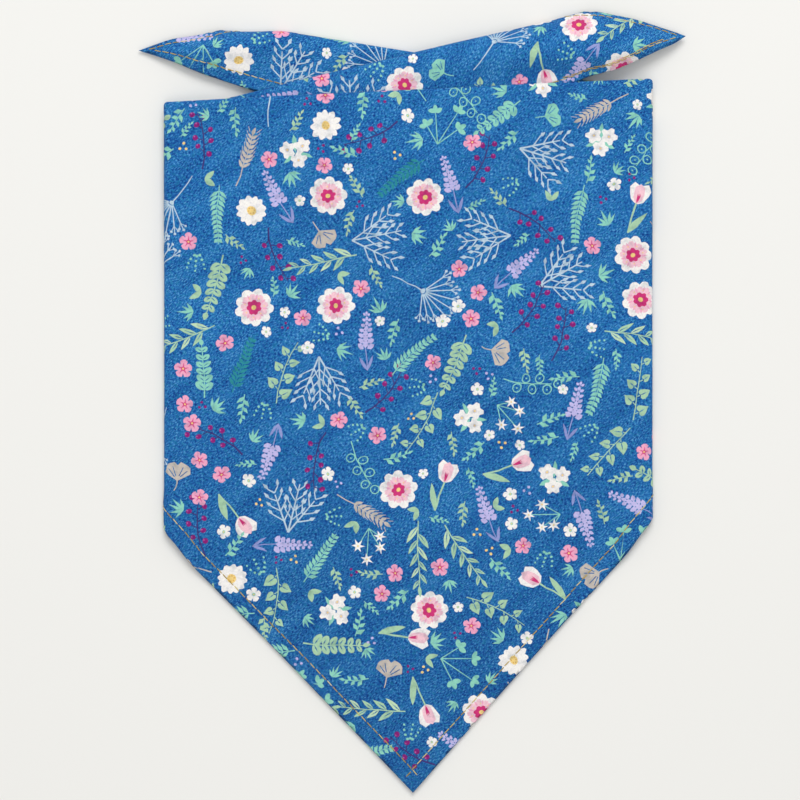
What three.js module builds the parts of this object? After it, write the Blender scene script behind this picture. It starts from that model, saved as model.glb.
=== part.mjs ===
// Pet bandana: one triangle of printed cotton with a turned, topstitched hem on all three edges,
// folded for display and laid face up with its point toward -Y.
//
// The folds, in the order they are made:
//   top fold    the neck edge is turned to the wrong side, as a band along the whole cloth
//   side folds  the left wing, then the right wing, go behind the front panel; the two wings cross
//               there and their tips come out above the panel, each showing its turned band
// From the surface up, the layers are: right wing, its band, left wing, its band, the panel's band
// and the front panel. They are one closed wall, with air between the layers.
//
// Millimetres, +Z up. The origin is on the surface, under the middle of the outline.
import * as THREE from 'three';

// The wall
const CLOTH = 1.0; // single cloth
const HEM_EXTRA = 0.6; // the turned-under edge, all on the wrong side
const HEM_WIDTH = 7;
const HEM_RUNOUT = 1.6; // over which the hem's extra thickness ends
const HEM_PRESSED = 0.8; // share of it that a fold's roll presses out
const EDGE_SLANT = 1.5; // the hem's width along a line that crosses the lower edges aslant

// The front panel's outline
const SIDE_LEFT = -111.1;
const SIDE_RIGHT = 107.8;
const TOP_LEFT = 134.5; // height of the top fold at each side
const TOP_RIGHT = 145.1;
const FOOT_LEFT = -59.2; // where each lower edge meets its side fold
const FOOT_RIGHT = -54.1;
const POINT_X = 0.5;
const POINT_Y = -175.3;
const BAND_DEPTH = 54; // of the turned band behind the panel

// The wings. A section is "at" so far from the wing's side fold. fold is the height of its top
// fold, which past the crossing only guides the band; edge is how far below fold the lower edge
// of the cloth runs on the band, past the crossing; band is how far below fold the neck edge is;
// crest is how high the band arches where it lies free.
const LEFT_WING = {
  side: SIDE_LEFT,
  out: 1,
  foot: FOOT_LEFT,
  crossing: 191.5,
  tip: 234.1,
  sections: [
    { at: 0, fold: 132.4, edge: 0, band: 54, crest: 0 },
    { at: 20, fold: 134.9, edge: 0, band: 51.5, crest: 0.2 },
    { at: 60, fold: 144.3, edge: 0, band: 46.4, crest: 0.6 },
    { at: 120, fold: 158.8, edge: 0, band: 38.8, crest: 2.4 },
    { at: 183, fold: 174.1, edge: 0, band: 31.0, crest: 5.8 },
    { at: 191.5, fold: 176.0, edge: 0, band: 30.0, crest: 6.2 },
    { at: 201, fold: 178.4, edge: 4.2, band: 29.4, crest: 6.4 },
    { at: 210.5, fold: 180.7, edge: 8.4, band: 27.9, crest: 6.0 },
    { at: 221.5, fold: 183.4, edge: 14.4, band: 25.5, crest: 4.2 },
    { at: 228.5, fold: 185.1, edge: 18.3, band: 24.0, crest: 2.2 },
    { at: 234.1, fold: 186.4, edge: 21.6, band: 21.6, crest: 0 },
  ],
};
const RIGHT_WING = {
  side: SIDE_RIGHT,
  out: -1,
  foot: FOOT_RIGHT,
  crossing: 197,
  tip: 230.8,
  sections: [
    { at: 0, fold: 142.9, edge: 0, band: 54, crest: 0 },
    { at: 24, fold: 144.3, edge: 0, band: 50.6, crest: 0.2 },
    { at: 80, fold: 153.1, edge: 0, band: 42.6, crest: 0.6 },
    { at: 120, fold: 159.5, edge: 0, band: 36.9, crest: 2.2 },
    { at: 153, fold: 164.8, edge: 0, band: 32.2, crest: 4.6 },
    { at: 168, fold: 166.9, edge: 0, band: 29.6, crest: 5.6 },
    { at: 180, fold: 166.6, edge: 0, band: 26.2, crest: 6.2 },
    { at: 190, fold: 166.9, edge: 0, band: 23.0, crest: 6.3 },
    { at: 197, fold: 167.5, edge: 0, band: 21.5, crest: 6.1 },
    { at: 204.5, fold: 167.2, edge: 2.5, band: 18.4, crest: 5.6 },
    { at: 215.7, fold: 167.4, edge: 4.8, band: 14.0, crest: 4.0 },
    { at: 223.5, fold: 167.6, edge: 6.9, band: 11.5, crest: 2.2 },
    { at: 230.8, fold: 167.8, edge: 9.4, band: 9.4, crest: 0 },
  ],
};

// The stack: how far each layer that lies below lifts the next one, between the middles of walls
const WRONG_FACES = 2.6; // two wrong sides, with room for the hems between them
const RIGHT_FACES = 1.8; // two printed sides
const PANEL_ROLL = 1.6; // the panel over its own band
const BRIDGE = 6; // how far a layer runs on level past the edge of one below
const DRAPE = 28; // and then takes to come down

// The folds' rolls
const TOP_ROLL = 1.4; // half width, seen from above
const SIDE_ROLL = { bare: 1.7, banded: 3.0, band: 0.9 }; // the same, by how many layers turn
const ROLL_LENGTH = Math.PI * TOP_ROLL;
const EDGE_CROSSES = 4; // the lower edge goes through the top fold's roll over this length
const CREST_RUN = 9; // from a wing tip's edges up to its crest
const CREST_FREE = 12; // past the panel's top fold, over which a tip's arch rises
const NECK_LIFT = 0.4; // share of the crest that lifts the neck edge itself

// The mesh
const PANEL_STATIONS = 22;
const WING_STATIONS = 22;
const ROLL_STEPS = 6;
const BAND_ROWS = 7;
const MAIN_ROWS = 16;

const lerp = (a, b, t) => a + (b - a) * t;
const clamp = (value, low, high) => Math.min(Math.max(value, low), high);

function smooth(t) {
  const s = clamp(t, 0, 1);
  return s * s * (3 - 2 * s);
}

// 1 where a layer lies and up to BRIDGE outside it, and down to 0 over DRAPE from there
function cover(inside) {
  return smooth(1 + (inside + BRIDGE) / DRAPE);
}

// A section table's column at a place between its rows
function read(table, column, at) {
  const last = table.length - 1;
  const k = clamp(table.findIndex((row) => row.at > at) - 1, 0, last - 1);
  const from = at >= table[last].at ? table[last - 1] : table[k];
  const to = at >= table[last].at ? table[last] : table[k + 1];
  return lerp(from[column], to[column], (at - from.at) / (to.at - from.at));
}

const panelTop = (x) =>
  lerp(TOP_LEFT, TOP_RIGHT, (x - SIDE_LEFT) / (SIDE_RIGHT - SIDE_LEFT));

function panelFoot(x) {
  return x < POINT_X
    ? lerp(FOOT_LEFT, POINT_Y, (x - SIDE_LEFT) / (POINT_X - SIDE_LEFT))
    : lerp(POINT_Y, FOOT_RIGHT, (x - POINT_X) / (SIDE_RIGHT - POINT_X));
}

const atOf = (wing, x) => (x - wing.side) * wing.out;
const foldOf = (wing, x) => read(wing.sections, 'fold', atOf(wing, x));
const neckOf = (wing, x) => foldOf(wing, x) - read(wing.sections, 'band', atOf(wing, x));

// How far a place lies inside a wing's main layer: under its fold and above its lower edge
function insideMain(wing, x, y) {
  const at = atOf(wing, x);
  const run = wing.crossing;
  const rise = read(wing.sections, 'fold', run) - wing.foot;
  const above = (y - wing.foot) * run - at * rise;
  return Math.min(foldOf(wing, x) - y, above / Math.hypot(run, rise));
}

function insideBand(wing, x, y) {
  const edge = read(wing.sections, 'edge', atOf(wing, x));
  const under = foldOf(wing, x) - edge - y;
  return Math.min(under, y - neckOf(wing, x), wing.tip - atOf(wing, x));
}

const insidePanelBand = (x, y) => Math.min(panelTop(x) - y, y - panelTop(x) + BAND_DEPTH);

// A wing tip's puffed cross-section, where nothing lies on it
function crestOf(wing, x, y) {
  const at = Math.min(atOf(wing, x), wing.tip);
  const edge = Math.max(0, read(wing.sections, 'edge', at));
  const fromTop = clamp((foldOf(wing, x) - edge - y) / CREST_RUN, 0, 1);
  const fromNeck = clamp((y - neckOf(wing, x)) / CREST_RUN, 0, 1);
  const rounded = fromTop * (2 - fromTop) * lerp(NECK_LIFT, 1, fromNeck * (2 - fromNeck));
  const freeOfPanel = smooth((y - panelTop(x) - TOP_ROLL) / CREST_FREE);
  return read(wing.sections, 'crest', at) * rounded * freeOfPanel;
}

// Heights of the six layers' middles over a place, from the surface up
function layers(x, y) {
  const rightMain = cover(insideMain(RIGHT_WING, x, y));
  const rightBand = cover(insideBand(RIGHT_WING, x, y));
  const leftMain = cover(insideMain(LEFT_WING, x, y));
  const leftBand = cover(insideBand(LEFT_WING, x, y));
  const panelBand = cover(insidePanelBand(x, y));
  const rest = CLOTH / 2;
  const hemmed = rest + HEM_EXTRA;
  const freeOfLeft = smooth((y - foldOf(LEFT_WING, x) - TOP_ROLL) / DRAPE);
  const onRight = WRONG_FACES * rightMain + RIGHT_FACES * rightBand;
  const onLeft = onRight + WRONG_FACES * leftMain + RIGHT_FACES * leftBand;
  const bandOver = WRONG_FACES - HEM_EXTRA;
  return {
    rightMain: rest,
    rightBand: hemmed + bandOver * rightMain + freeOfLeft * crestOf(RIGHT_WING, x, y),
    leftMain: rest + onRight,
    leftBand: hemmed + onRight + bandOver * leftMain + crestOf(LEFT_WING, x, y),
    panelBand: rest + onLeft,
    panelMain: hemmed + onLeft + PANEL_ROLL * panelBand,
  };
}

// A station is a line of the cloth that runs from the neck edge, over the top fold, to the lower
// edge. turn is 0 on the panel, 1 on a wing, and between them in the side fold's roll.
function panelStations() {
  const room = SIDE_ROLL.banded;
  const left = SIDE_LEFT + room;
  const right = SIDE_RIGHT - room;
  const xs = Array.from({ length: PANEL_STATIONS + 1 }, (_, i) =>
    lerp(left, right, i / PANEL_STATIONS),
  );
  xs.push(POINT_X);
  xs.sort((a, b) => a - b);
  return xs.map((x) => ({ x, turn: 0 }));
}

function wingStations(wing) {
  const rolled = Array.from({ length: ROLL_STEPS - 1 }, (_, i) => ({
    wing,
    turn: (i + 1) / ROLL_STEPS,
    at: SIDE_ROLL.banded,
  }));
  const inner = SIDE_ROLL.banded;
  const plain = wing.crossing - EDGE_CROSSES;
  const even = WING_STATIONS - wing.sections.filter((row) => row.at > plain).length;
  const ats = Array.from({ length: even + 1 }, (_, i) => lerp(inner, plain, i / even));
  ats.push(lerp(plain, wing.crossing, 0.5));
  ats.push(...wing.sections.filter((row) => row.at > plain).map((row) => row.at));
  return [...rolled, ...ats.map((at) => ({ wing, turn: 1, at }))];
}

// The cloth's own coordinate along a station: below 0 on the band, 0 to ROLL_LENGTH in the top
// fold's roll, and past that on the main layer.
function stationEnds(station) {
  if (!station.wing) {
    const main = panelTop(station.x) - TOP_ROLL - panelFoot(station.x);
    return { neck: TOP_ROLL - BAND_DEPTH, edge: ROLL_LENGTH + main };
  }
  const { wing, at, turn } = station;
  if (turn < 1) {
    const panel = stationEnds({ x: wing.side + wing.out * at });
    const behind = stationEnds({ wing, at, turn: 1 });
    return {
      neck: lerp(panel.neck, behind.neck, turn),
      edge: lerp(panel.edge, behind.edge, turn),
    };
  }
  const band = read(wing.sections, 'band', at);
  const straight = wing.crossing - EDGE_CROSSES;
  let edge = 0;
  if (at < straight) {
    const share = 1 - at / straight;
    const longest = wing.sections[0].fold - TOP_ROLL - wing.foot;
    edge = ROLL_LENGTH + longest * share;
  } else if (at < wing.crossing) {
    edge = (ROLL_LENGTH * (wing.crossing - at)) / EDGE_CROSSES;
  } else {
    edge = -Math.max(0, read(wing.sections, 'edge', at) - TOP_ROLL);
  }
  return { neck: Math.min(TOP_ROLL - band, edge), edge };
}

function stationRows(ends) {
  const bandTop = Math.min(0, ends.edge);
  const hem = (place, width) => Math.min(ends.neck + width, lerp(ends.neck, bandTop, place));
  const rows = [ends.neck, hem(0.3, HEM_WIDTH), hem(0.4, HEM_WIDTH + HEM_RUNOUT)];
  for (let i = 1; i <= BAND_ROWS - 2; i += 1) {
    rows.push(lerp(rows[2], bandTop, i / (BAND_ROWS - 2)));
  }
  for (let i = 1; i <= ROLL_STEPS; i += 1) {
    rows.push((ROLL_LENGTH * i) / ROLL_STEPS);
  }
  const main = Math.max(0, ends.edge - ROLL_LENGTH);
  const hemmed = [HEM_WIDTH + HEM_RUNOUT, HEM_WIDTH].map((width) =>
    Math.min(width * EDGE_SLANT, main * (width > HEM_WIDTH ? 0.5 : 0.4)),
  );
  for (let i = 1; i <= MAIN_ROWS - 3; i += 1) {
    rows.push(ROLL_LENGTH + ((main - hemmed[0]) * i) / (MAIN_ROWS - 3));
  }
  rows.push(ROLL_LENGTH + main - hemmed[1], ROLL_LENGTH + main);
  return rows.map((b) => Math.min(b, ends.edge));
}

// Where the middle of the wall lies, for a place on a station
function place(station, b) {
  const roll = clamp(b / ROLL_LENGTH, 0, 1); // 0 on the band, 1 on the main layer
  const over = -Math.cos(Math.PI * roll); // -1 on the band, 1 on the main layer
  const down = b < 0 ? -b : Math.max(0, b - ROLL_LENGTH);
  const bulge = TOP_ROLL * (1 - Math.sin(Math.PI * roll));
  const wing = station.wing ?? (station.x < POINT_X ? LEFT_WING : RIGHT_WING);
  const names = wing === LEFT_WING ? ['leftMain', 'leftBand'] : ['rightMain', 'rightBand'];

  // Seen from above: the station's own line, then the side fold's roll
  const turn = station.turn;
  const panelX = station.wing ? wing.side + wing.out * SIDE_ROLL.banded : station.x;
  const wingX = station.wing ? wing.side + wing.out * station.at : station.x;
  const x = turn === 1 ? wingX : panelX;
  const fold = lerp(panelTop(x), foldOf(wing, x), smooth(1.5 * turn - 0.5));
  const y = fold - bulge - down;
  const at = layers(x, y);
  const pairMiddle = (main, band) => (main + band) / 2;
  const panelHalf = (at.panelMain - at.panelBand) / 2;
  const wingHalf = (at[names[1]] - at[names[0]]) / 2;
  const panelMiddle = pairMiddle(at.panelMain, at.panelBand);
  const wingMiddle = pairMiddle(at[names[0]], at[names[1]]);
  const half = lerp(panelHalf, wingHalf, turn) * over;
  const middle = (panelMiddle + wingMiddle) / 2;
  const radius = (panelMiddle - wingMiddle) / 2 + half;
  const z = middle + radius * Math.cos(Math.PI * turn);

  // The rolls' width, and what it takes from the flat parts beside them
  const banded = cover(insidePanelBand(x, y));
  const outer = lerp(SIDE_ROLL.bare, SIDE_ROLL.banded, banded);
  const width = lerp(lerp(outer, SIDE_ROLL.band, banded), outer, (over + 1) / 2);
  const near = Math.abs(x - wing.side) - SIDE_ROLL.banded;
  const drawn = (outer - SIDE_ROLL.banded) * smooth(1 - near / (2 * DRAPE));
  const outward = width * Math.sin(Math.PI * turn);
  return new THREE.Vector3(x + wing.out * (drawn - outward), y, z);
}

// How much thicker the hem makes the wall at a place on a station. It is pressed thin inside a
// roll, and where the lower edge goes through the top fold.
function hemAt(station, b, ends) {
  const fromNeck = (b - ends.neck - HEM_WIDTH) / HEM_RUNOUT;
  const fromEdge = (ends.edge - b - HEM_WIDTH * EDGE_SLANT) / (HEM_RUNOUT * EDGE_SLANT);
  const rolled = Math.sin(Math.PI * clamp(b / ROLL_LENGTH, 0, 1));
  const turned = Math.sin(Math.PI * station.turn);
  const fromCrossing = station.wing ? Math.abs(station.at - station.wing.crossing) : Infinity;
  const crossed = smooth(2 - fromCrossing / EDGE_CROSSES);
  const pressed = 1 - HEM_PRESSED * Math.max(rolled, turned, crossed);
  return HEM_EXTRA * pressed * (1 - clamp(Math.min(fromNeck, fromEdge), 0, 1));
}

// The middle surface as a mesh: places, their extra thickness, and triangles whose front is the
// printed side. Rows that meet at the cloth's edge share one place.
function middleSurface() {
  const left = wingStations(LEFT_WING).reverse();
  const stations = [...left, ...panelStations(), ...wingStations(RIGHT_WING)];
  const places = [];
  const extra = [];
  const grid = stations.map((station) => {
    const ends = stationEnds(station);
    let before = null;
    let index = -1;
    return stationRows(ends).map((b) => {
      if (before === null || b > before + 1e-6) {
        before = b;
        index = places.push(place(station, b)) - 1;
        extra.push(hemAt(station, b, ends));
      }
      return index;
    });
  });
  const triangles = [];
  for (let i = 0; i + 1 < grid.length; i += 1) {
    for (let j = 0; j + 1 < grid[i].length; j += 1) {
      const [a, b, c, d] = [grid[i][j], grid[i + 1][j], grid[i + 1][j + 1], grid[i][j + 1]];
      const even = (i + j) % 2 === 0;
      const pair = even ? [[a, c, b], [a, d, c]] : [[a, d, b], [b, d, c]];
      triangles.push(...pair.filter(([p, q, r]) => p !== q && q !== r && r !== p));
    }
  }
  return { places, extra, triangles };
}

// Each place's direction away from the printed side, from the triangles round it
function normalsOf({ places, triangles }) {
  const normals = places.map(() => new THREE.Vector3());
  for (const [a, b, c] of triangles) {
    const ab = new THREE.Vector3().subVectors(places[b], places[a]);
    const ac = new THREE.Vector3().subVectors(places[c], places[a]);
    const area = ab.cross(ac);
    [a, b, c].forEach((k) => normals[k].add(area));
  }
  return normals.map((normal) => normal.normalize());
}

// The closed wall: the printed side, the wrong side and the rim that joins them
function clothGeometry() {
  const surface = middleSurface();
  const normals = normalsOf(surface);
  const count = surface.places.length;
  const front = surface.places.map((p, k) => p.clone().addScaledVector(normals[k], CLOTH / 2));
  const back = surface.places.map((p, k) =>
    p.clone().addScaledVector(normals[k], -CLOTH / 2 - surface.extra[k]),
  );
  const faces = [];
  const open = new Map();
  for (const [a, b, c] of surface.triangles) {
    faces.push([a, b, c], [a + count, c + count, b + count]);
    for (const [from, to] of [[a, b], [b, c], [c, a]]) {
      if (!open.delete(`${to} ${from}`)) open.set(`${from} ${to}`, [from, to]);
    }
  }
  for (const [from, to] of open.values()) {
    faces.push([from, from + count, to + count], [from, to + count, to]);
  }
  const all = [...front, ...back];
  const box = new THREE.Box3().setFromPoints(all);
  const middle = box.getCenter(new THREE.Vector3()).setZ(box.min.z);
  const geometry = new THREE.BufferGeometry();
  const flat = all.flatMap((p) => p.sub(middle).toArray());
  geometry.setAttribute('position', new THREE.Float32BufferAttribute(flat, 3));
  geometry.setIndex(faces.flat());
  geometry.computeVertexNormals();
  return geometry;
}

const cotton = new THREE.MeshStandardMaterial({
  color: '#1f6299',
  roughness: 0.9,
  metalness: 0,
});

const bandana = new THREE.Group();
const cloth = new THREE.Mesh(clothGeometry(), cotton);
cloth.name = 'bandana_cloth';
bandana.add(cloth);

export default bandana;
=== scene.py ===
"""The looks of the pet bandana: one printed cotton triangle with hems and topstitching, folded and
laid face up. Lengths are in millimetres until a mesh is made, and colours are display colours from
0 to 255 until linear() turns them into light."""

import math
import random

import bpy
import numpy as np
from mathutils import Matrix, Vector
from mathutils.bvhtree import BVHTree
from mathutils.geometry import delaunay_2d_cdt
from mathutils.kdtree import KDTree


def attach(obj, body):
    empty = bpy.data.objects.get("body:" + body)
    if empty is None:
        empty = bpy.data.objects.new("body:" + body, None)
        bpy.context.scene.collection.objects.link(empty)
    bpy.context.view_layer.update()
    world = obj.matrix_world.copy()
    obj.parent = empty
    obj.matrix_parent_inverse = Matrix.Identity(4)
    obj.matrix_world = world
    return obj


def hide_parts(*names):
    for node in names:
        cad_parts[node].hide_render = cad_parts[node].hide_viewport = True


MM = 0.001
TAU = 2 * math.pi

# The cloth
CLOTH = 0.5  # the wall
HEM_EXTRA = 0.5  # at the hems, on the wrong side
HEM_WIDTH = 8.2
STITCH_LINE = 7.0  # from the edge
STITCH_PITCH = 3.7
THREAD = 0.44  # diameter

# The front panel's outline
SIDE_LEFT, SIDE_RIGHT = -111.1, 107.8
TOP_LEFT, TOP_RIGHT = 134.14, 144.74
FOOT_LEFT, FOOT_RIGHT = -59.56, -54.46
POINT_X, POINT_Y = 0.5, -175.66
BAND_DEPTH = 54

# The wings, in sections so far from each one's side fold: the height of the top fold, how far below
# it the lower edge and the neck edge run on the band, and how high the band arches
LEFT_WING = {
    "side": SIDE_LEFT,
    "out": 1,
    "foot": FOOT_LEFT,
    "crossing": 191.5,
    "tip": 234.1,
    "at": [0, 20, 60, 120, 183, 191.5, 201, 210.5, 221.5, 228.5, 234.1],
    "fold": [132.0, 134.5, 143.9, 158.4, 173.5, 176.1, 178.0, 180.3, 183.0, 184.7, 186.0],
    "edge": [0, 0, 0, 0, 0, 1.0, 4.3, 8.4, 14.4, 18.3, 21.6],
    "band": [54, 51.5, 46.4, 38.8, 31.0, 30.0, 29.4, 27.9, 25.5, 24.0, 21.6],
    "crest": [0, 0.2, 0.6, 2.4, 5.8, 6.2, 6.4, 6.0, 4.2, 2.2, 0],
}
RIGHT_WING = {
    "side": SIDE_RIGHT,
    "out": -1,
    "foot": FOOT_RIGHT,
    "crossing": 197,
    "tip": 230.8,
    "at": [0, 24, 80, 120, 153, 168, 180, 190, 197, 204.5, 215.7, 223.5, 230.8],
    "fold": [142.5, 143.9, 152.7, 159.1, 164.4, 166.5, 166.2, 166.3, 167.2, 166.8, 167.0, 167.2, 167.4],
    "edge": [0, 0, 0, 0, 0, 0, 0, 0, 0.9, 2.3, 4.1, 6.6, 9.4],
    "band": [54, 50.6, 42.6, 36.9, 32.2, 29.6, 26.2, 23.0, 21.5, 18.4, 14.0, 11.5, 9.4],
    "crest": [0, 0.2, 0.6, 2.2, 4.6, 5.6, 6.2, 6.3, 6.1, 5.6, 4.0, 2.2, 0],
}

# The stack and the folds
WRONG_FACES, RIGHT_FACES, PANEL_ROLL = 2.6, 1.8, 1.6  # how far each pair of layers lifts the next
BRIDGE, DRAPE = 6, 28  # how far a layer runs on level past one below, and takes to come down
TOP_ROLL = 1.4
SIDE_ROLL_BARE, SIDE_ROLL_BANDED, SIDE_ROLL_BAND = 1.7, 3.0, 0.9
SIDE_FLAT = 8.0  # of flat cloth in a side fold's roll
ROLL_LENGTH = math.pi * TOP_ROLL
CORNER_DRAWN, CORNER_RUN = 2.2, 9  # how the lower edge rounds off at the side folds
EDGE_CROSSES = 7  # the lower edge goes through the top fold's roll over this length
CREST_RUN, CREST_FREE, NECK_LIFT = 9, 12, 0.4
REST = 0.7  # from the surface to the middle of the lowest wall
REST_HEMMED = 1.3


def smooth(t):
    s = np.clip(t, 0, 1)
    return s * s * (3 - 2 * s)


def lerp(a, b, t):
    return a + (b - a) * t


def unit(vectors):
    return vectors / np.maximum(np.linalg.norm(vectors, axis=-1, keepdims=True), 1e-9)


def rightward(ways):
    """Unit directions square to flat ones, on their right."""
    return unit(np.stack([ways[:, 1], -ways[:, 0]], axis=1))


def read(wing, column, at):
    """A wing table's column at any places, smooth through its sections."""
    xs, ys = np.array(wing["at"], float), np.array(wing[column], float)
    slopes = np.diff(ys) / np.diff(xs)
    before, after = np.append(slopes[0], slopes), np.append(slopes, slopes[-1])
    same = before * after > 0
    safe = np.where(same, before + after, 1)
    tangents = np.where(same, 2 * before * after / safe, 0)
    tangents[0], tangents[-1] = slopes[0], slopes[-1]
    at = np.asarray(at, float)
    k = np.clip(np.searchsorted(xs, at, side="right") - 1, 0, len(xs) - 2)
    run = xs[k + 1] - xs[k]
    t = np.clip((at - xs[k]) / run, 0, 1)
    t2, t3 = t * t, t * t * t
    value = (
        (2 * t3 - 3 * t2 + 1) * ys[k]
        + (t3 - 2 * t2 + t) * run * tangents[k]
        + (3 * t2 - 2 * t3) * ys[k + 1]
        + (t3 - t2) * run * tangents[k + 1]
    )
    beyond = np.where(at > xs[-1], (at - xs[-1]) * tangents[-1], 0)
    return value + beyond + np.where(at < xs[0], (at - xs[0]) * tangents[0], 0)


def panel_top(x):
    return lerp(TOP_LEFT, TOP_RIGHT, (x - SIDE_LEFT) / (SIDE_RIGHT - SIDE_LEFT))


def panel_foot(x):
    left = lerp(FOOT_LEFT, POINT_Y, (x - SIDE_LEFT) / (POINT_X - SIDE_LEFT))
    right = lerp(POINT_Y, FOOT_RIGHT, (x - POINT_X) / (SIDE_RIGHT - POINT_X))
    return np.where(x < POINT_X, left, right)


def cover(inside):
    """How much a layer lifts the next one, by how far inside its outline a place is."""
    return smooth(1 + (inside + BRIDGE) / DRAPE)


def from_side(wing, x):
    return (x - wing["side"]) * wing["out"]


def inside_panel_band(x, y):
    return np.minimum(panel_top(x) - y, y - panel_top(x) + BAND_DEPTH)


def inside_main(wing, x, y):
    at = from_side(wing, x)
    run = wing["crossing"]
    rise = float(read(wing, "fold", run)) - wing["foot"]
    above = (y - wing["foot"]) * run - at * rise
    return np.minimum(read(wing, "fold", at) - y, above / math.hypot(run, rise))


def inside_band(wing, x, y):
    at = from_side(wing, x)
    fold = read(wing, "fold", at)
    under = fold - read(wing, "edge", at) - y
    above = y - fold + read(wing, "band", at)
    return np.minimum(np.minimum(under, above), wing["tip"] - at)


def crest_of(wing, x, y):
    """How high a wing's band arches where it lies free of the panel."""
    at = np.minimum(from_side(wing, x), wing["tip"])
    fold = read(wing, "fold", at)
    edge = np.maximum(0, read(wing, "edge", at))
    from_top = np.clip((fold - edge - y) / CREST_RUN, 0, 1)
    from_neck = np.clip((y - fold + read(wing, "band", at)) / CREST_RUN, 0, 1)
    rounded = from_top * (2 - from_top) * lerp(NECK_LIFT, 1, from_neck * (2 - from_neck))
    free = smooth((y - panel_top(x) - TOP_ROLL) / CREST_FREE)
    return read(wing, "crest", at) * rounded * free


def layers(x, y):
    """Heights of the six layers' middles over places, from the surface up."""
    right_main, right_band = (cover(f(RIGHT_WING, x, y)) for f in (inside_main, inside_band))
    left_main, left_band = (cover(f(LEFT_WING, x, y)) for f in (inside_main, inside_band))
    left_fold = read(LEFT_WING, "fold", x - SIDE_LEFT)
    free_of_left = smooth((y - left_fold - TOP_ROLL) / DRAPE)
    on_right = WRONG_FACES * right_main + RIGHT_FACES * right_band
    on_left = on_right + WRONG_FACES * left_main + RIGHT_FACES * left_band
    band_over = WRONG_FACES - (REST_HEMMED - REST)
    right_crest = free_of_left * crest_of(RIGHT_WING, x, y)
    return {
        "right_main": REST + 0 * x,
        "right_band": REST_HEMMED + band_over * right_main + right_crest,
        "left_main": REST + on_right,
        "left_band": REST_HEMMED + on_right + band_over * left_main + crest_of(LEFT_WING, x, y),
        "panel_band": REST + on_left,
        "panel_main": REST_HEMMED + on_left + PANEL_ROLL * cover(inside_panel_band(x, y)),
    }


# A place on the cloth is (s, b): s runs across, from the left wing's tip to the right wing's, and
# is the panel's x where it is on the panel; b runs down, below 0 on the band, up to ROLL_LENGTH in
# the top fold and past that on the main layer.
PANEL_LEFT, PANEL_RIGHT = SIDE_LEFT + SIDE_ROLL_BANDED, SIDE_RIGHT - SIDE_ROLL_BANDED
WING_LEFT, WING_RIGHT = PANEL_LEFT - SIDE_FLAT, PANEL_RIGHT + SIDE_FLAT
SIDE_FOLDS = ((WING_LEFT, PANEL_LEFT), (PANEL_RIGHT, WING_RIGHT))
WINGS = ((LEFT_WING, WING_LEFT, -1), (RIGHT_WING, WING_RIGHT, 1))  # each one's first s and way on


def turn_at(s):
    """(turn, at): 0 on the panel to 1 on a wing, and how far from the side fold on the wing."""
    turn = np.clip(np.maximum(PANEL_LEFT - s, s - PANEL_RIGHT) / SIDE_FLAT, 0, 1)
    past = np.maximum(np.maximum(WING_LEFT - s, s - WING_RIGHT), 0)
    return turn, SIDE_ROLL_BANDED + past


def ends(s):
    """b at the neck edge and at the lower edge."""
    s = np.asarray(s, float)
    turn, at = turn_at(s)
    x = np.clip(s, PANEL_LEFT, PANEL_RIGHT)
    panel_neck = TOP_ROLL - BAND_DEPTH
    panel_edge = ROLL_LENGTH + panel_top(x) - TOP_ROLL - panel_foot(x)
    necks, edges = [], []
    for wing in (LEFT_WING, RIGHT_WING):
        straight = wing["crossing"] - EDGE_CROSSES
        longest = wing["fold"][0] - TOP_ROLL - wing["foot"]
        on_main = ROLL_LENGTH + longest * (1 - at / straight)
        in_roll = ROLL_LENGTH * (wing["crossing"] - at) / EDGE_CROSSES
        on_band = -np.maximum(0, read(wing, "edge", at) - TOP_ROLL)
        edge = np.where(at < straight, on_main, np.where(at < wing["crossing"], in_roll, on_band))
        edges.append(edge)
        necks.append(np.minimum(TOP_ROLL - read(wing, "band", at), edge))
    left = s < POINT_X
    wing_neck, wing_edge = np.where(left, *necks), np.where(left, *edges)
    from_fold = np.abs(np.abs(s - (PANEL_LEFT + PANEL_RIGHT) / 2) - (WING_RIGHT + PANEL_RIGHT) / 2)
    corner = CORNER_DRAWN * (1 - smooth((from_fold - SIDE_FLAT / 2) / CORNER_RUN))
    return lerp(panel_neck, wing_neck, turn), lerp(panel_edge, wing_edge, turn) - corner


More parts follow.
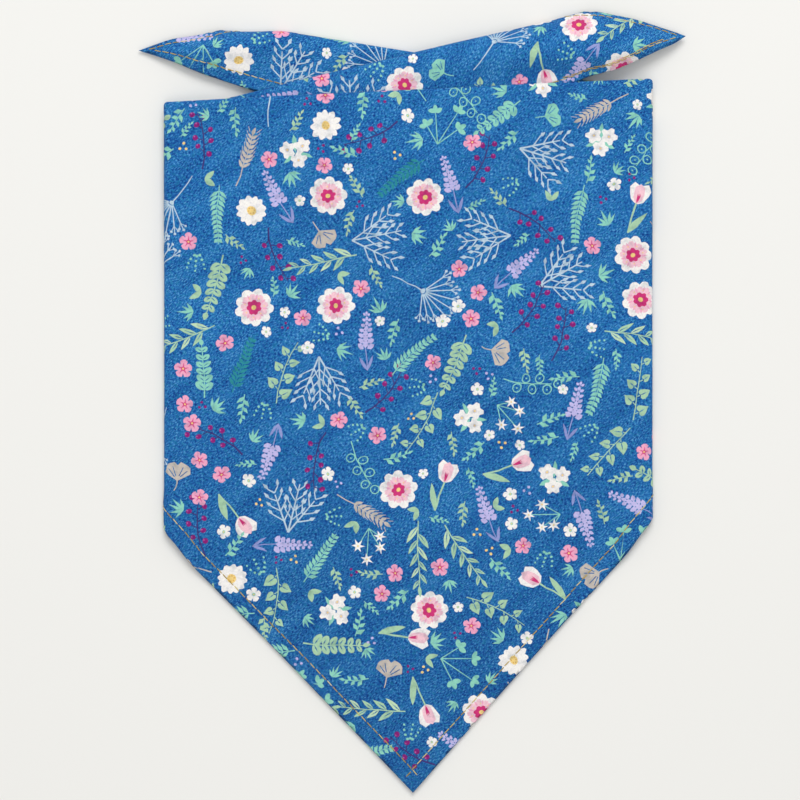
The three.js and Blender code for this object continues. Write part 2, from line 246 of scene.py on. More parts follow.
def middle(s, b):
    """Where the middle of the wall lies for places on the cloth, as an (n, 3) array."""
    s, b = np.broadcast_arrays(np.asarray(s, float), np.asarray(b, float))
    turn, at = turn_at(s)
    roll = np.clip(b / ROLL_LENGTH, 0, 1)
    over = -np.cos(np.pi * roll)
    down = np.where(b < 0, -b, np.maximum(0, b - ROLL_LENGTH))
    bulge = TOP_ROLL * (1 - np.sin(np.pi * roll))
    out = np.zeros(s.shape + (3,))
    for wing, side, mine in ((LEFT_WING, "left", s < POINT_X), (RIGHT_WING, "right", s >= POINT_X)):
        panel_x = np.clip(s, PANEL_LEFT, PANEL_RIGHT)
        x = np.where(turn < 1, panel_x, wing["side"] + wing["out"] * at)
        # The top fold goes over from the panel's line to the wing's in the turn's last two thirds
        shift = smooth(1.5 * turn - 0.5)
        y = lerp(panel_top(x), read(wing, "fold", from_side(wing, x)), shift) - bulge - down
        z = layers(x, y)
        main, band = z[side + "_main"], z[side + "_band"]
        panel_middle, wing_middle = (z["panel_main"] + z["panel_band"]) / 2, (main + band) / 2
        half = lerp((z["panel_main"] - z["panel_band"]) / 2, (band - main) / 2, turn) * over
        radius = (panel_middle - wing_middle) / 2 + half
        height = (panel_middle + wing_middle) / 2 + radius * np.cos(np.pi * turn)
        banded = cover(inside_panel_band(x, y))
        outer = lerp(SIDE_ROLL_BARE, SIDE_ROLL_BANDED, banded)
        width = lerp(lerp(outer, SIDE_ROLL_BAND, banded), outer, (over + 1) / 2)
        near = np.abs(x - wing["side"]) - SIDE_ROLL_BANDED
        drawn = (outer - SIDE_ROLL_BANDED) * smooth(1 - near / (2 * DRAPE))
        across = x + wing["out"] * (drawn - width * np.sin(np.pi * turn))
        out[mine] = np.stack([across, y, height], axis=-1)[mine]
    return out


def facing(s, b):
    """Unit normals of the middle surface, away from its wrong side."""
    step = 0.05
    across = middle(s + step, b) - middle(s - step, b)
    along_b = middle(s, b + step) - middle(s, b - step)
    return unit(np.cross(along_b, across))


# The cloth laid flat, printed side up: u to the right and v up, in the panel's own place. The top
# fold is one straight line through it.
FOLD_ANGLE = math.atan2(TOP_RIGHT - TOP_LEFT, SIDE_RIGHT - SIDE_LEFT)
FOLD_DIR = np.array([math.cos(FOLD_ANGLE), math.sin(FOLD_ANGLE)])
FOLD_UP = np.array([-FOLD_DIR[1], FOLD_DIR[0]])
SLOPE_ROWS = (1, 8)  # the sections between which a wing's top fold gives its slope
SETTLED = 60  # from its side fold, where a wing's band lies as its slope says
FOLD_SAMPLES = 400  # to measure a wing's top fold by


def flat_of(s, length):
    """Flat places (n, 2), where length is the cloth's length down each station from the top fold."""
    at = turn_at(s)[1]
    flat = np.stack([s, panel_top(s) - length], axis=-1)
    for wing, start, sign in WINGS:
        mine = (s - start) * sign > 0
        if not mine.any():
            continue
        grid = np.linspace(SIDE_ROLL_BANDED, wing["tip"], FOLD_SAMPLES)
        rise = np.diff(read(wing, "fold", grid))
        run = np.append(0, np.cumsum(np.hypot(np.diff(grid), rise)))
        q = np.interp(at[mine], grid, run)
        low, high = SLOPE_ROWS
        slope = math.atan2(wing["fold"][high] - wing["fold"][low], wing["at"][high] - wing["at"][low])
        down = length[mine]
        # The band keeps its form away from the side fold
        lean = lerp(sign * math.sin(FOLD_ANGLE), -math.sin(slope), smooth(q / SETTLED))
        band_q, band_h = q + lean * -down, np.sqrt(1 - lean**2) * -down
        # The main layer turns a little round the fold's corner
        main_q, main_h = q - math.sin(slope) * down, math.cos(slope) * down
        whole = math.pi / 2 + slope
        wanted = math.pi / 2 - sign * -FOLD_ANGLE
        angle = np.arctan2(main_h, main_q) * wanted / whole
        radius = np.hypot(main_q, main_h)
        main_q, main_h = radius * np.cos(angle), -radius * np.sin(angle)
        on_band = down < 0
        q2, h2 = np.where(on_band, band_q, main_q), np.where(on_band, band_h, main_h)
        origin = np.array([start, float(panel_top(start))])
        flat[mine] = origin + q2[:, None] * sign * FOLD_DIR + h2[:, None] * FOLD_UP
    return flat


# The ground's points: how many or how far apart
PANEL_STATIONS, ROLL_STATIONS = 74, 11
WING_STEP, CROSSING_STEP, TIP_STEP, TIP_STATIONS = 3.0, 0.8, 2.0, 7
CROSSING_FROM, CROSSING_TO, TIP_FROM = -9, 4, -6  # from the crossing and from the tip
ROW_STEP, ROLL_ROWS = 3.0, 7
CALM_FROM = 14  # below the top fold, the cloth curves slowly
ROLL_ROOM = 1  # on each side of the top fold's roll, counted in with it
LEAST_STATION, LEAST_ROW = 0.05, 0.02  # from one to the next
BAND_SAMPLES, ROLL_SAMPLES, MAIN_SAMPLES = 60, 25, 200  # to measure a station's length by


def stations():
    """Every station's s, closer together in the side folds, at the crossings and at the tips."""
    rolls = [np.linspace(a, b, ROLL_STATIONS) for a, b in SIDE_FOLDS]
    found = [np.linspace(PANEL_LEFT, PANEL_RIGHT, PANEL_STATIONS), *rolls, [POINT_X]]
    for wing, start, sign in WINGS:
        low, cross, tip = SIDE_ROLL_BANDED, wing["crossing"], wing["tip"]
        ats = [
            np.arange(low, cross + CROSSING_FROM, WING_STEP),
            np.arange(cross + CROSSING_FROM, cross + CROSSING_TO, CROSSING_STEP),
            np.arange(cross + CROSSING_TO, tip + TIP_FROM, TIP_STEP),
            np.linspace(tip + TIP_FROM, tip, TIP_STATIONS),
        ]
        found.append(start + sign * (np.concatenate(ats) - low))
    s = np.unique(np.round(np.concatenate(found), 4))
    return s[np.append(True, np.diff(s) > LEAST_STATION)]


def station_rows(s, neck, edge):
    """A station's rows, as b and as the cloth's length from the top fold."""
    lowest = max(edge, ROLL_LENGTH + 1)
    spans = (
        (neck, 0, BAND_SAMPLES),
        (0, ROLL_LENGTH, ROLL_SAMPLES),
        (ROLL_LENGTH, lowest, MAIN_SAMPLES),
    )
    fine = np.unique(np.concatenate([np.linspace(*span) for span in spans]))
    places = middle(np.full(len(fine), s), fine)
    run = np.append(0, np.cumsum(np.linalg.norm(np.diff(places, axis=0), axis=1)))
    run -= np.interp(ROLL_LENGTH / 2, fine, run)
    rows = []
    for low, high, step in (
        (neck, min(0, edge), ROW_STEP),
        (0, min(ROLL_LENGTH, edge), ROLL_LENGTH / ROLL_ROWS),
        (ROLL_LENGTH, edge, ROW_STEP),
    ):
        if high > low + 1e-6:
            a, c = np.interp([low, high], fine, run)
            count = max(2, int(math.ceil((c - a) / step)) + 1)
            rows.append(np.interp(np.linspace(a, c, count), run, fine))
    b = np.unique(np.round(np.concatenate(rows or [[neck]]), 5))
    b = b[np.append(True, np.diff(b) > LEAST_ROW)]
    b[0], b[-1] = neck, edge if len(b) > 1 else neck
    return b, np.interp(b, fine, run)


def base_points():
    """The cloth's ground points, (s, b, u, v) each, its outline's loop, and for each point whether
    plain cloth can spare it and whether it is in a roll."""
    points, kinds, neck_line, edge_line = [], [], [], []
    for number, s in enumerate(stations()):
        neck, edge = (float(v) for v in ends(s))
        b, length = station_rows(s, neck, edge)
        flat = flat_of(np.full(len(b), s), length)
        index = np.arange(len(b))
        in_fold = (b > -ROLL_ROOM) & (b < ROLL_LENGTH + ROLL_ROOM)
        rolled = in_fold | (0 < float(turn_at(s)[0]) < 1)
        calm = (b > ROLL_LENGTH + CALM_FROM) & ~rolled
        one_of_four = (index % 2 == 1) | (number % 2 == 1)
        one_of_two = ((index + number) % 2 == 1) & ~rolled
        kinds.extend(zip(np.where(calm, one_of_four, one_of_two), rolled))
        neck_line.append(len(points))
        points.extend(zip(np.full(len(b), s), b, flat[:, 0], flat[:, 1]))
        edge_line.append(len(points) - 1)
    loop = neck_line + [k for k in reversed(edge_line) if k not in (neck_line[0], neck_line[-1])]
    return np.array(points), loop, np.array(kinds)


# Flat shapes of the print, each growing up the page from (0, 0)
def turned(shape, angle, at=(0, 0), size=1.0):
    c, s = math.cos(angle) * size, math.sin(angle) * size
    return np.asarray(shape) @ np.array([[c, s], [-s, c]]) + np.asarray(at)


def way(lean):
    """The direction that leans so far to the left of straight up."""
    return np.array([-math.sin(lean), math.cos(lean)])


def rayed(radii):
    """A closed shape about (0, 0), with its corners so far out."""
    t = np.arange(len(radii)) * (TAU / len(radii))
    return np.stack([radii * np.sin(t), radii * np.cos(t)], axis=1)


def oval(width, height, sides):
    return rayed(np.full(sides, 0.5)) * (width, height)


def scallops(radius, count, depth, steps=4):
    t = np.arange(count * steps) / (count * steps)
    return rayed(radius - depth + depth * np.abs(np.sin(np.pi * count * t)) ** 0.6)


def lobe(length, width, profile):
    """A closed shape on an axis, from rows of (share of the length, share of the width)."""
    t, w = np.array(profile).T
    right = np.stack([w * width / 2, t * length], axis=1)
    left = right[::-1] * [-1, 1]
    return np.vstack([right, left[left[:, 0] < -1e-6]])


LEAF = [(0, 0), (0.15, 0.55), (0.38, 1), (0.66, 0.8), (0.86, 0.4), (1, 0)]
NEEDLE = [(0, 0), (0.3, 1), (0.7, 0.9), (1, 0)]
GRAIN = [(0, 0), (0.35, 1), (0.75, 0.75), (1, 0)]
PETAL = [(0, 0.15), (0.4, 0.72), (0.8, 1), (1, 0.3)]
ROUND_LEAF = [(0, 0), (0.1, 0.6), (0.35, 1), (0.65, 0.98), (0.9, 0.55), (1, 0)]
HEART = [(0.1, 0), (0, 0.45), (0.08, 0.85), (0.3, 1), (0.55, 0.75), (0.8, 0.3), (1, 0)]
CUP = [(0, 0.25), (0.2, 0.85), (0.5, 1), (0.8, 0.9), (1, 0)]
SLIT = [(0, 0), (0.45, 1), (1, 0)]


def bent(length, bow, steps=6):
    """A stem's path, upwards and to one side."""
    t = np.linspace(0, 1, steps)
    return np.stack([bow * t * t, length * t], axis=1)


def on_path(path, t):
    """The place at a share of the way along a path, and the lean there from straight up."""
    k = min(int(t * (len(path) - 1)), len(path) - 2)
    part = t * (len(path) - 1) - k
    step = path[k + 1] - path[k]
    return path[k] + part * step, math.atan2(-step[0], step[1])


def places_on(path, first, step, count):
    """Evenly along a path: the number, the place and the lean there of each."""
    for k in range(count):
        yield k, *on_path(path, first + step * k)


def by_turns(k):
    return 1 if k % 2 else -1


class Sketch(list):
    """A motif as (ink, shape) pairs, later shapes over earlier ones."""

    def shape(self, ink, shape, lean=0, spot=(0, 0)):
        self.append((ink, turned(shape, lean, spot)))

    def leaf(self, ink, length, width, profile, lean, spot=(0, 0)):
        self.append((ink, turned(lobe(length, width, profile), lean, spot)))

    def disc(self, ink, spot, across, sides):
        self.append((ink, spot + oval(across, across, sides)))

    def stem(self, ink, path, low, high):
        """A thin line along a path, so wide at its start and at its end."""
        across = rightward(np.gradient(path, axis=0))
        half = np.linspace(low, high, len(path))[:, None] / 2
        self.append((ink, np.vstack([path + across * half, (path - across * half)[::-1]])))

    def line(self, ink, start, end, low, high):
        self.stem(ink, np.array([start, end]), low, high)


# Leafy sprigs. stem: its length, its bow and its two widths. places: where its first leaf is, the
# step to the next and their number. leaf: its length, how much less each next one's is, its width,
# how much less each next one's is, and its outline. aside: how far it leans from the stem. slit: its
# length, how much less each next one's is, and its width. end: where the last leaf is, its length,
# its width and its outline. paired: False for leaves by turns. stalk: how long each leaf's is.
# third_ink: that of every third leaf. steps: the points of the stem's path.
ROUND_LEAVES = {
    "ink": "sage",
    "stem": (28, 6, 0.7, 0.4),
    "places": (0.17, 0.14, 6),
    "leaf": (5.6, 0.42, 3.7, 0.25, ROUND_LEAF),
    "aside": 1.0,
    "slit": (3.9, 0.3, 0.5),
    "end": (0.97, 3.6, 2.4, LEAF),
}
HEART_LEAVES = {
    "ink": "sage",
    "stem": (30, 9, 0.5, 0.35),
    "places": (0.1, 0.13, 7),
    "leaf": (6.2, 0.35, 5.4, 0.35, HEART),
    "aside": 0.95,
    "slit": (4.2, 0.3, 0.5),
    "paired": False,
    "stalk": 1.8,
}
WILLOW = {
    "ink": "sage",
    "stem": (33, 7, 0.6, 0.4),
    "places": (0.08, 0.1, 9),
    "leaf": (9.6, 0.5, 2.7, 0.12, LEAF),
    "aside": 0.62,
    "slit": (6.4, 0.3, 0.45),
    "end": (0.96, 5.5, 1.8, LEAF),
    "paired": False,
    "third_ink": "pale_sage",
}
NEEDLES = {
    "ink": "mint",
    "stem": (25, 5, 0.45, 0.3),
    "places": (0.1, 0.082, 11),
    "leaf": (4.8, 0.25, 1.65, 0, SLIT),
    "aside": 0.85,
}
LEAFLETS = {
    "ink": "mint",
    "stem": (9.5, 3, 0.4, 0.3),
    "places": (0.1, 0.15, 6),
    "leaf": (3.7, 0.3, 1.9, 0.14, SLIT),
    "aside": 0.75,
    "end": (0.95, 2.6, 1.2, SLIT),
    "paired": False,
    "steps": 3,
}


def sprig(art, rng, ink, stem, places, leaf, aside, **more):
    """A curved stem with leaves, in pairs or by turns on one side and the other."""
    length, bow, low, high = stem
    first, step, count = places
    long, less_long, wide, less_wide, profile = leaf
    path = bent(length, rng.uniform(-bow, bow), more.get("steps", 6))
    art.stem(ink, path, low, high)
    for k, spot, lean in places_on(path, first, step, count):
        leaf_ink = ink if k % 3 else more.get("third_ink", ink)
        for side in (-1, 1) if more.get("paired", True) else (by_turns(k),):
            out = lean + side * aside
            foot = spot + more.get("stalk", 0) * way(out)
            if "stalk" in more:
                art.line(ink, spot, foot, 0.4, 0.4)
            art.leaf(leaf_ink, long - less_long * k, wide - less_wide * k, profile, out, foot)
            if "slit" in more:
                slit_long, less, slit_wide = more["slit"]
                art.leaf("vein", slit_long - less * k, slit_wide, SLIT, out, foot)
    if "end" in more:
        at, *leaf = more["end"]
        spot, lean = on_path(path, at)
        art.leaf(ink, *leaf, lean, spot)


def clover_sprig(art, rng):
    """A forked mint stem whose twigs end in three small leaves."""
    for lean, length in ((-0.75, 12), (-0.2, 18), (0.3, 15), (0.85, 10)):
        lean += rng.uniform(-0.1, 0.1)
        tip = length * way(lean)
        art.line("mint", (0, 0), tip, 0.5, 0.35)
        for side in (-1.15, 0, 1.15):
            art.leaf("mint", 3.8, 2.2, ROUND_LEAF, lean + side, tip)


def lilac_spike(art, rng):
    """A spike of small round buds in whorls, over two slim leaves."""
    path = bent(26, rng.uniform(-3, 3))
    art.stem("lilac_stem", path, 0.5, 0.35)
    for side in (-1, 1):
        art.leaf("lilac_stem", 7.5, 1.3, NEEDLE, side * 0.45, path[0])
    for k, spot, lean in places_on(path, 0.4, 0.095, 7):
        size = 2.9 - 0.26 * k
        for side in (-1, 0, 1):
            bud = spot + turned([[side * size * 0.3, abs(side) * -0.3]], lean)[0]
            art.leaf("lilac", size * 1.2, size * 0.85, GRAIN, lean - side * 0.95, bud)


def berry_bough(art, rng):
    """Round berries on short stalks, hanging along an arched twig."""
    bow = rng.choice((-1, 1)) * rng.uniform(7, 11)
    path = bent(24, bow)
    art.stem("bough", path, 0.75, 0.4)
    for k, spot, lean in places_on(path, 0.22, 0.105, 8):
        out = lean + by_turns(k) * rng.uniform(0.8, 1.2)
        tip = spot + rng.uniform(2.6, 4.4) * way(out)
        art.line("bough", spot, tip, 0.45, 0.4)
        art.disc("berry", tip, 2.5, 8)
        art.disc("berry_light", tip + (-0.45, 0.5), 0.75, 5)


def wheat_ear(art, rng):
    """An ear of grains in pairs, each with its beard."""
    path = bent(26, rng.uniform(-4, 4))
    art.stem("taupe", path, 0.55, 0.4)
    for k, spot, lean in places_on(path, 0.36, 0.09, 7):
        for side in (-1, 1):
            art.leaf("taupe", 4.3 - 0.2 * k, 1.5, GRAIN, lean + side * 0.72, spot)
            beard = turned([[side * 1.6, 3.4], [side * 3.2, 7.4 - 0.3 * k]], lean, spot)
            art.stem("taupe", beard, 0.35, 0.25)
    spot, lean = on_path(path, 0.97)
    art.leaf("taupe", 4.2, 1.8, LEAF, lean, spot)


def ginkgo_leaf(art, rng, ink="taupe"):
    """A fan-shaped leaf, notched in the middle, with bare lines fanning out in it."""
    art.stem(ink, bent(6, rng.uniform(-1.5, 1.5), 4)[::-1] * [1, -1] + (0, 6), 0.5, 0.7)
    lean = np.linspace(-1.15, 1.15, 13)
    reach = 9.6 - 1.3 * lean**2 + 0.35 * np.cos(9 * lean) - 2.6 * np.exp(-((lean / 0.13) ** 2))
    rim = np.stack([reach * np.sin(lean), 6 + reach * np.cos(lean)], axis=1)
    art.shape(ink, np.vstack([rim, [[0.35, 5.6], [-0.35, 5.6]]]))
    for out in (-0.8, -0.42, 0.42, 0.8):
        start, end = (np.array([0, 6]) + far * way(-out) for far in (2.2, 7.2))
        art.line("vein", start, end, 0.5, 0.4)


def daisy(art, rng):
    """A round flower of many narrow petals."""
    count = rng.choice((11, 12, 13))
    for k in range(count):
        art.leaf("white", rng.uniform(6.3, 7.2), 3.0, PETAL, TAU * k / count)
        if k % 2:
            art.leaf("shade", 2.6, 0.5, NEEDLE, TAU * k / count)
    art.disc("yellow", (0, 0), 4.0, 12)
    for k in range(6):
        art.disc("ochre", 1.2 * way(k * 1.05), 0.6, 5)


def rosette(art, rng):
    """A scalloped double flower, white at its rim and deep pink in the middle."""
    art.shape("white", scallops(8.2, 9, 1.5))
    art.shape("blush", scallops(5.9, 9, 1.3, 3), 0.35)
    for k in range(9):
        angle = TAU * k / 9 + 0.35
        art.leaf("pink", 2.7, 0.7, NEEDLE, angle, 3.1 * way(angle))
    art.shape("magenta", scallops(3.2, 7, 0.7, 3))
    art.disc("yellow", (0, 0), 2.0, 8)
    for k in range(7):
        art.disc("yellow", 4.0 * way(TAU * k / 7), 0.7, 5)


def tulip(art, rng):
    """A pink cup of three petals on a stem with one long leaf."""
    path = bent(13, rng.uniform(-2, 2), 5)
    top, lean = on_path(path, 1)
    art.stem("sage", path, 0.8, 0.7)
    art.leaf("sage", 12, 3.0, LEAF, rng.choice((-1, 1)) * 0.45)
    for out in (-0.32, 0.32):
        art.leaf("white", 9.4, 5.4, CUP, lean + out, top)
        art.leaf("pink", 5.6, 2.0, NEEDLE, lean + out, top)
    art.leaf("blush", 8.8, 4.8, CUP, lean, top)
    for out in (-0.16, 0, 0.16):
        art.leaf("magenta", 4.6, 0.55, NEEDLE, lean + out, top)


def small_flower(art, rng, ink="pink", eye="magenta", across=7.4):
    """Five round petals about a dot."""
    for k in range(5):
        art.leaf(ink, across / 2, across * 0.42, PETAL, TAU * k / 5)
        if ink == "pink":
            art.leaf("rose", across * 0.34, across * 0.08, SLIT, TAU * k / 5)
    art.disc(eye, (0, 0), across * 0.24, 7)
    art.disc("yellow", (0, 0), across * 0.13, 5)


def blossom_trio(art, rng):
    """Three white blossoms close together over short leaves."""
    for k in range(3):
        art.leaf("mint", 7.6, 2.2, GRAIN, TAU * k / 3 + math.pi / 3)
    for k in range(3):
        spot = 3.9 * way(TAU * k / 3 + rng.uniform(-0.15, 0.15))
        art.shape("white", scallops(3.9, 5, 1.3, 3), rng.uniform(0, 1), spot)
        art.disc("shade", spot, 1.9, 7)
        art.disc("yellow", spot, 1.0, 5)


def star_spray(art, rng):
    """White six-pointed stars on a forked stem."""
    for lean, length in ((-0.6, 9), (-0.1, 14), (0.5, 10), (0.95, 6)):
        tip = length * way(lean)
        art.line("mint", (0, 0), tip, 0.45, 0.35)
        art.shape("white", rayed(np.tile([3.0, 1.15], 6)), rng.uniform(0, 1), tip)
        art.disc("yellow", tip, 0.9, 5)


def umbel(art, rng):
    """A fan of fine rays from one stem, each with a tuft of dots."""
    art.stem("frost", bent(14, rng.uniform(-2, 2), 5)[::-1] * [1, -1], 0.35, 0.55)
    art.shape("frost", oval(2.2, 1.8, 8))
    for k in range(9):
        lean = -1.15 + 2.3 * k / 8
        length = 14.5 - 3.2 * abs(lean) + rng.uniform(-1, 1)
        art.line("frost", 1.2 * way(lean), length * way(lean), 0.5, 0.4)
        for out, far in ((-0.55, 2.6), (0, 3.4), (0.55, 2.6)):
            start = (length - 1.5) * way(lean)
            end = start + far * way(lean + out)
            art.line("frost", start, end, 0.32, 0.32)
            art.disc("frost", end, 1.35, 4)


def twig_fan(art, rng):
    """Fine twigs that fork twice, with a bud at each end."""
    for side in (-1, 0, 1):
        lean = side * 0.5 + rng.uniform(-0.08, 0.08)
        art.line("frost", (0, 0), (17 - 3 * abs(side)) * way(lean), 0.6, 0.4)
        for k in range(4):
            start = (4.5 + 3.4 * k) * way(lean)
            for out in (-0.75, 0.75):
                twig = way(lean + out)
                end = start + (4.4 - 0.6 * k) * twig
                art.line("frost", start, end, 0.46, 0.38)
                art.leaf("frost", 2.7, 1.2, SLIT, lean + 0.6 * out, end - 0.3 * twig)


def moneywort(art, rng):
    """A stem of round seed cases, each only an outline with a seed in it."""
    path = bent(22, rng.uniform(-5, 5))
    art.stem("mint", path, 0.5, 0.35)
    for k, spot, lean in places_on(path, 0.25, 0.15, 6):
        out = lean + by_turns(k) * (k < 5)
        case = spot + 2.9 * way(out)
        for ink, across, sides in (("mint", 5.0, 9), ("vein", 3.9, 9), ("mint", 1.0, 4)):
            art.shape(ink, oval(across, across * 0.86, sides), 0, case)


def dot_spray(art, rng):
    """Rows of small dots fanning out from one place."""
    for row, lean in enumerate((-0.75, 0, 0.75)):
        for k in range(4):
            across = 1.4 - 0.12 * k
            spot = (1.6 + 2.1 * k) * way(lean * (1 - 0.1 * k))
            art.shape("mint", oval(across, across, 5), row, spot)


def grass_tuft(art, rng):
    """Five short blades from one root."""
    for lean in (-0.95, -0.5, 0, 0.5, 0.95):
        length = 7.6 - 2.2 * abs(lean) + rng.uniform(-0.5, 0.5)
        art.leaf("mint", length, 1.4, SLIT, lean + rng.uniform(-0.08, 0.08))


def dot_trio(art, rng, ink):
    for k in range(3):
        art.disc(ink, 1.5 * way(k * 2.1), 1.3, 6)


def leaf_pair(art, rng):
    for side in (-1, 1):
        art.leaf("sage", 5.2, 2.4, LEAF, side * 0.6)


WHITE_FLOWER = {"ink": "white", "eye": "mint"}

# Every motif: its drawing and what that is told, its length and width, how far it reaches below its
# start, its size and its number
MOTIFS = [
    (umbel, {}, 31, 25, 14, 1.1, 11),
    (rosette, {}, 17, 17, 8.5, 1.05, 17),
    (blossom_trio, {}, 16, 16, 8, 1.0, 17),
    (twig_fan, {}, 18, 19, 0, 1.3, 15),
    (daisy, {}, 15, 15, 7.5, 1.0, 9),
    (clover_sprig, {}, 22, 22, 0, 0.95, 7),
    (star_spray, {}, 18, 18, 0, 1.0, 8),
    (berry_bough, {}, 26, 15, 0, 1.0, 17),
    (tulip, {}, 22, 12, 0, 1.05, 13),
    (sprig, WILLOW, 36, 11, 0, 0.92, 17),
    (sprig, HEART_LEAVES, 34, 13, 0, 0.95, 13),
    (sprig, ROUND_LEAVES, 31, 12, 0, 0.98, 12),
    (sprig, ROUND_LEAVES | {"ink": "mint"}, 31, 12, 0, 0.85, 5),
    (moneywort, {}, 26, 11, 0, 0.95, 12),
    (sprig, NEEDLES, 27, 9, 0, 1.05, 15),
    (sprig, NEEDLES | {"ink": "teal"}, 27, 9, 0, 1.05, 6),
    (lilac_spike, {}, 27, 7, 0, 1.0, 22),
    (wheat_ear, {}, 31, 9, 0, 0.95, 15),
    (ginkgo_leaf, {}, 17, 16, 0, 0.85, 18),
    (ginkgo_leaf, {"ink": "mint"}, 17, 16, 0, 0.75, 6),
    (small_flower, {}, 8, 8, 4, 1.05, 52),
    (small_flower, WHITE_FLOWER, 8, 8, 4, 0.85, 30),
    (sprig, LEAFLETS, 12, 6, 0, 1.15, 46),
    (grass_tuft, {}, 7, 9, 0, 1.0, 40),
    (sprig, LEAFLETS | {"ink": "sage"}, 12, 6, 0, 1.0, 40),
    (dot_spray, {}, 8, 9, 0, 1.0, 40),
    (leaf_pair, {}, 5, 5, 0, 1.1, 40),
    (grass_tuft, {}, 7, 9, 0, 0.8, 40),
    (sprig, LEAFLETS, 12, 6, 0, 0.8, 50),
    (small_flower, WHITE_FLOWER, 8, 8, 4, 0.65, 24),
    (dot_trio, {"ink": "lilac"}, 5, 5, 2.2, 1.0, 24),
    (dot_trio, {"ink": "yellow"}, 5, 5, 2.2, 1.0, 20),
    (dot_trio, {"ink": "berry"}, 5, 5, 2.2, 1.0, 24),
]
PRINT_SEED = 41
MOTIF_GAP = 0.3
TRIES, SPOTS = 400, 300_000
FIELD = 1.03  # how far the print is laid out past the outline
HIDDEN_ROOM = 1.5  # past a fold or an edge, before the print is left off between layers
TIP_BARE = 17  # from a wing's tip
DISC_STEP = 0.4  # of a motif's width, from disc to disc along it

# The inks; a vein is a place left bare
INKS = {
    "white": (250, 247, 245),
    "shade": (222, 214, 220),
    "blush": (249, 203, 216),
    "pink": (246, 172, 202),
    "rose": (222, 92, 148),
    "magenta": (214, 50, 120),
    "yellow": (250, 217, 135),
    "ochre": (222, 160, 70),
    "sage": (174, 212, 176),
    "pale_sage": (198, 226, 190),
    "mint": (146, 214, 194),
    "teal": (44, 142, 152),
    "lilac": (200, 192, 240),
    "lilac_stem": (150, 158, 216),
    "bough": (66, 52, 120),
    "berry": (142, 24, 116),
    "berry_light": (198, 96, 168),
    "taupe": (204, 194, 184),
    "frost": (192, 214, 230),
    "vein": None,
}


def even_odd(places, outline):
    """Which places are inside a closed outline."""
    x, y = places[:, 0], places[:, 1]
    found = np.zeros(len(places), bool)
    for (x0, y0), (x1, y1) in zip(np.roll(outline, 1, axis=0), outline):
        if y0 != y1:
            crossed = (y0 > y) != (y1 > y)
            found ^= crossed & (x < x0 + (y - y0) * (x1 - x0) / (y1 - y0))
    return found


def hand_drawn(shape):
    """A shape with the slight unevenness of a drawn line."""
    x, y = shape.T
    shift_x = np.sin(y / 1.3) * 0.12 + np.sin(x / 2.1 + y / 3.1) * 0.2
    shift_y = np.sin(x / 1.1) * 0.12 + np.sin(y / 2.3 - x / 2.7) * 0.2
    return shape + np.stack([shift_x, shift_y], axis=1)


def scatter(outline):
    """The print's tossed layout over the flat cloth: each shape's ink, the shape in its place, and
    the middle of its motif. A motif keeps clear of the others by a row of discs along it."""
    rng = random.Random(PRINT_SEED)
    low, high = outline.min(axis=0), outline.max(axis=0)
    spots = np.random.default_rng(PRINT_SEED).uniform(low, high, (SPOTS, 2))
    centre_of = outline.mean(axis=0)
    field = centre_of + (outline[::10] - centre_of) * FIELD
    spots = iter(spots[even_odd(spots, field)])
    taken = np.zeros((0, 3))
    drawn = []
    for draw, how, length, width, below, size, count in MOTIFS:
        heights = np.arange(width / 2, max(length - width / 2, width / 2) + 0.1, width * DISC_STEP)
        rows = np.stack([0 * heights, heights - below], axis=1) * size
        reach = width * size / 2
        for _ in range(count):
            for _ in range(TRIES):
                centre = next(spots)
                angle = rng.uniform(0, TAU)
                at = centre - turned([rows.mean(axis=0)], angle)[0]
                discs = turned(rows, angle, at)
                apart = np.linalg.norm(discs[:, None] - taken[None, :, :2], axis=2)
                if (apart > reach + MOTIF_GAP + taken[:, 2]).all():
                    taken = np.vstack([taken, np.insert(discs, 2, reach, axis=1)])
                    art = Sketch()
                    draw(art, rng, **how)
                    for ink, shape in art:
                        drawn.append((ink, hand_drawn(turned(shape, angle, at, size)), centre))
                    break
    return drawn


def hidden(cloth, drawn):
    """Which shapes lie wholly between layers, on the band or between the two wings."""
    shapes = [shape for _, shape, _ in drawn]
    starts = np.cumsum([0] + [len(shape) for shape in shapes[:-1]])
    s, b = cloth.fold(np.vstack(shapes)).T
    x, y, _ = middle(s, b).T
    under = (x > SIDE_LEFT + HIDDEN_ROOM) & (x < SIDE_RIGHT - HIDDEN_ROOM)
    on_band = (b < -HIDDEN_ROOM) & (y < panel_top(x) - HIDDEN_ROOM) & under
    between = (s < WING_LEFT) & (b > ROLL_LENGTH) & (inside_main(RIGHT_WING, x, y) > HIDDEN_ROOM)
    return np.logical_and.reduceat(on_band | between, starts)


def near_tip(cloth, drawn):
    """Which motifs' middles are so near a wing's tip that the hems there take their place."""
    tips = cloth.outline[[int(np.argmin(cloth.outline[:, 0])), int(np.argmax(cloth.outline[:, 0]))]]
    centres = np.array([centre for _, _, centre in drawn])
    return np.linalg.norm(centres[:, None] - tips[None], axis=2).min(axis=1) < TIP_BARE


# Lines and meshes in the flat
TREND = 4.0  # how far each way an edge's direction is taken over
BORDER_GAP = 0.8  # least, from point to point of the border
NECK, RIGHT_LEG, LEFT_LEG = range(3)  # the cloth's edges


def cross2(a, b):
    return a[:, 0] * b[:, 1] - a[:, 1] * b[:, 0]


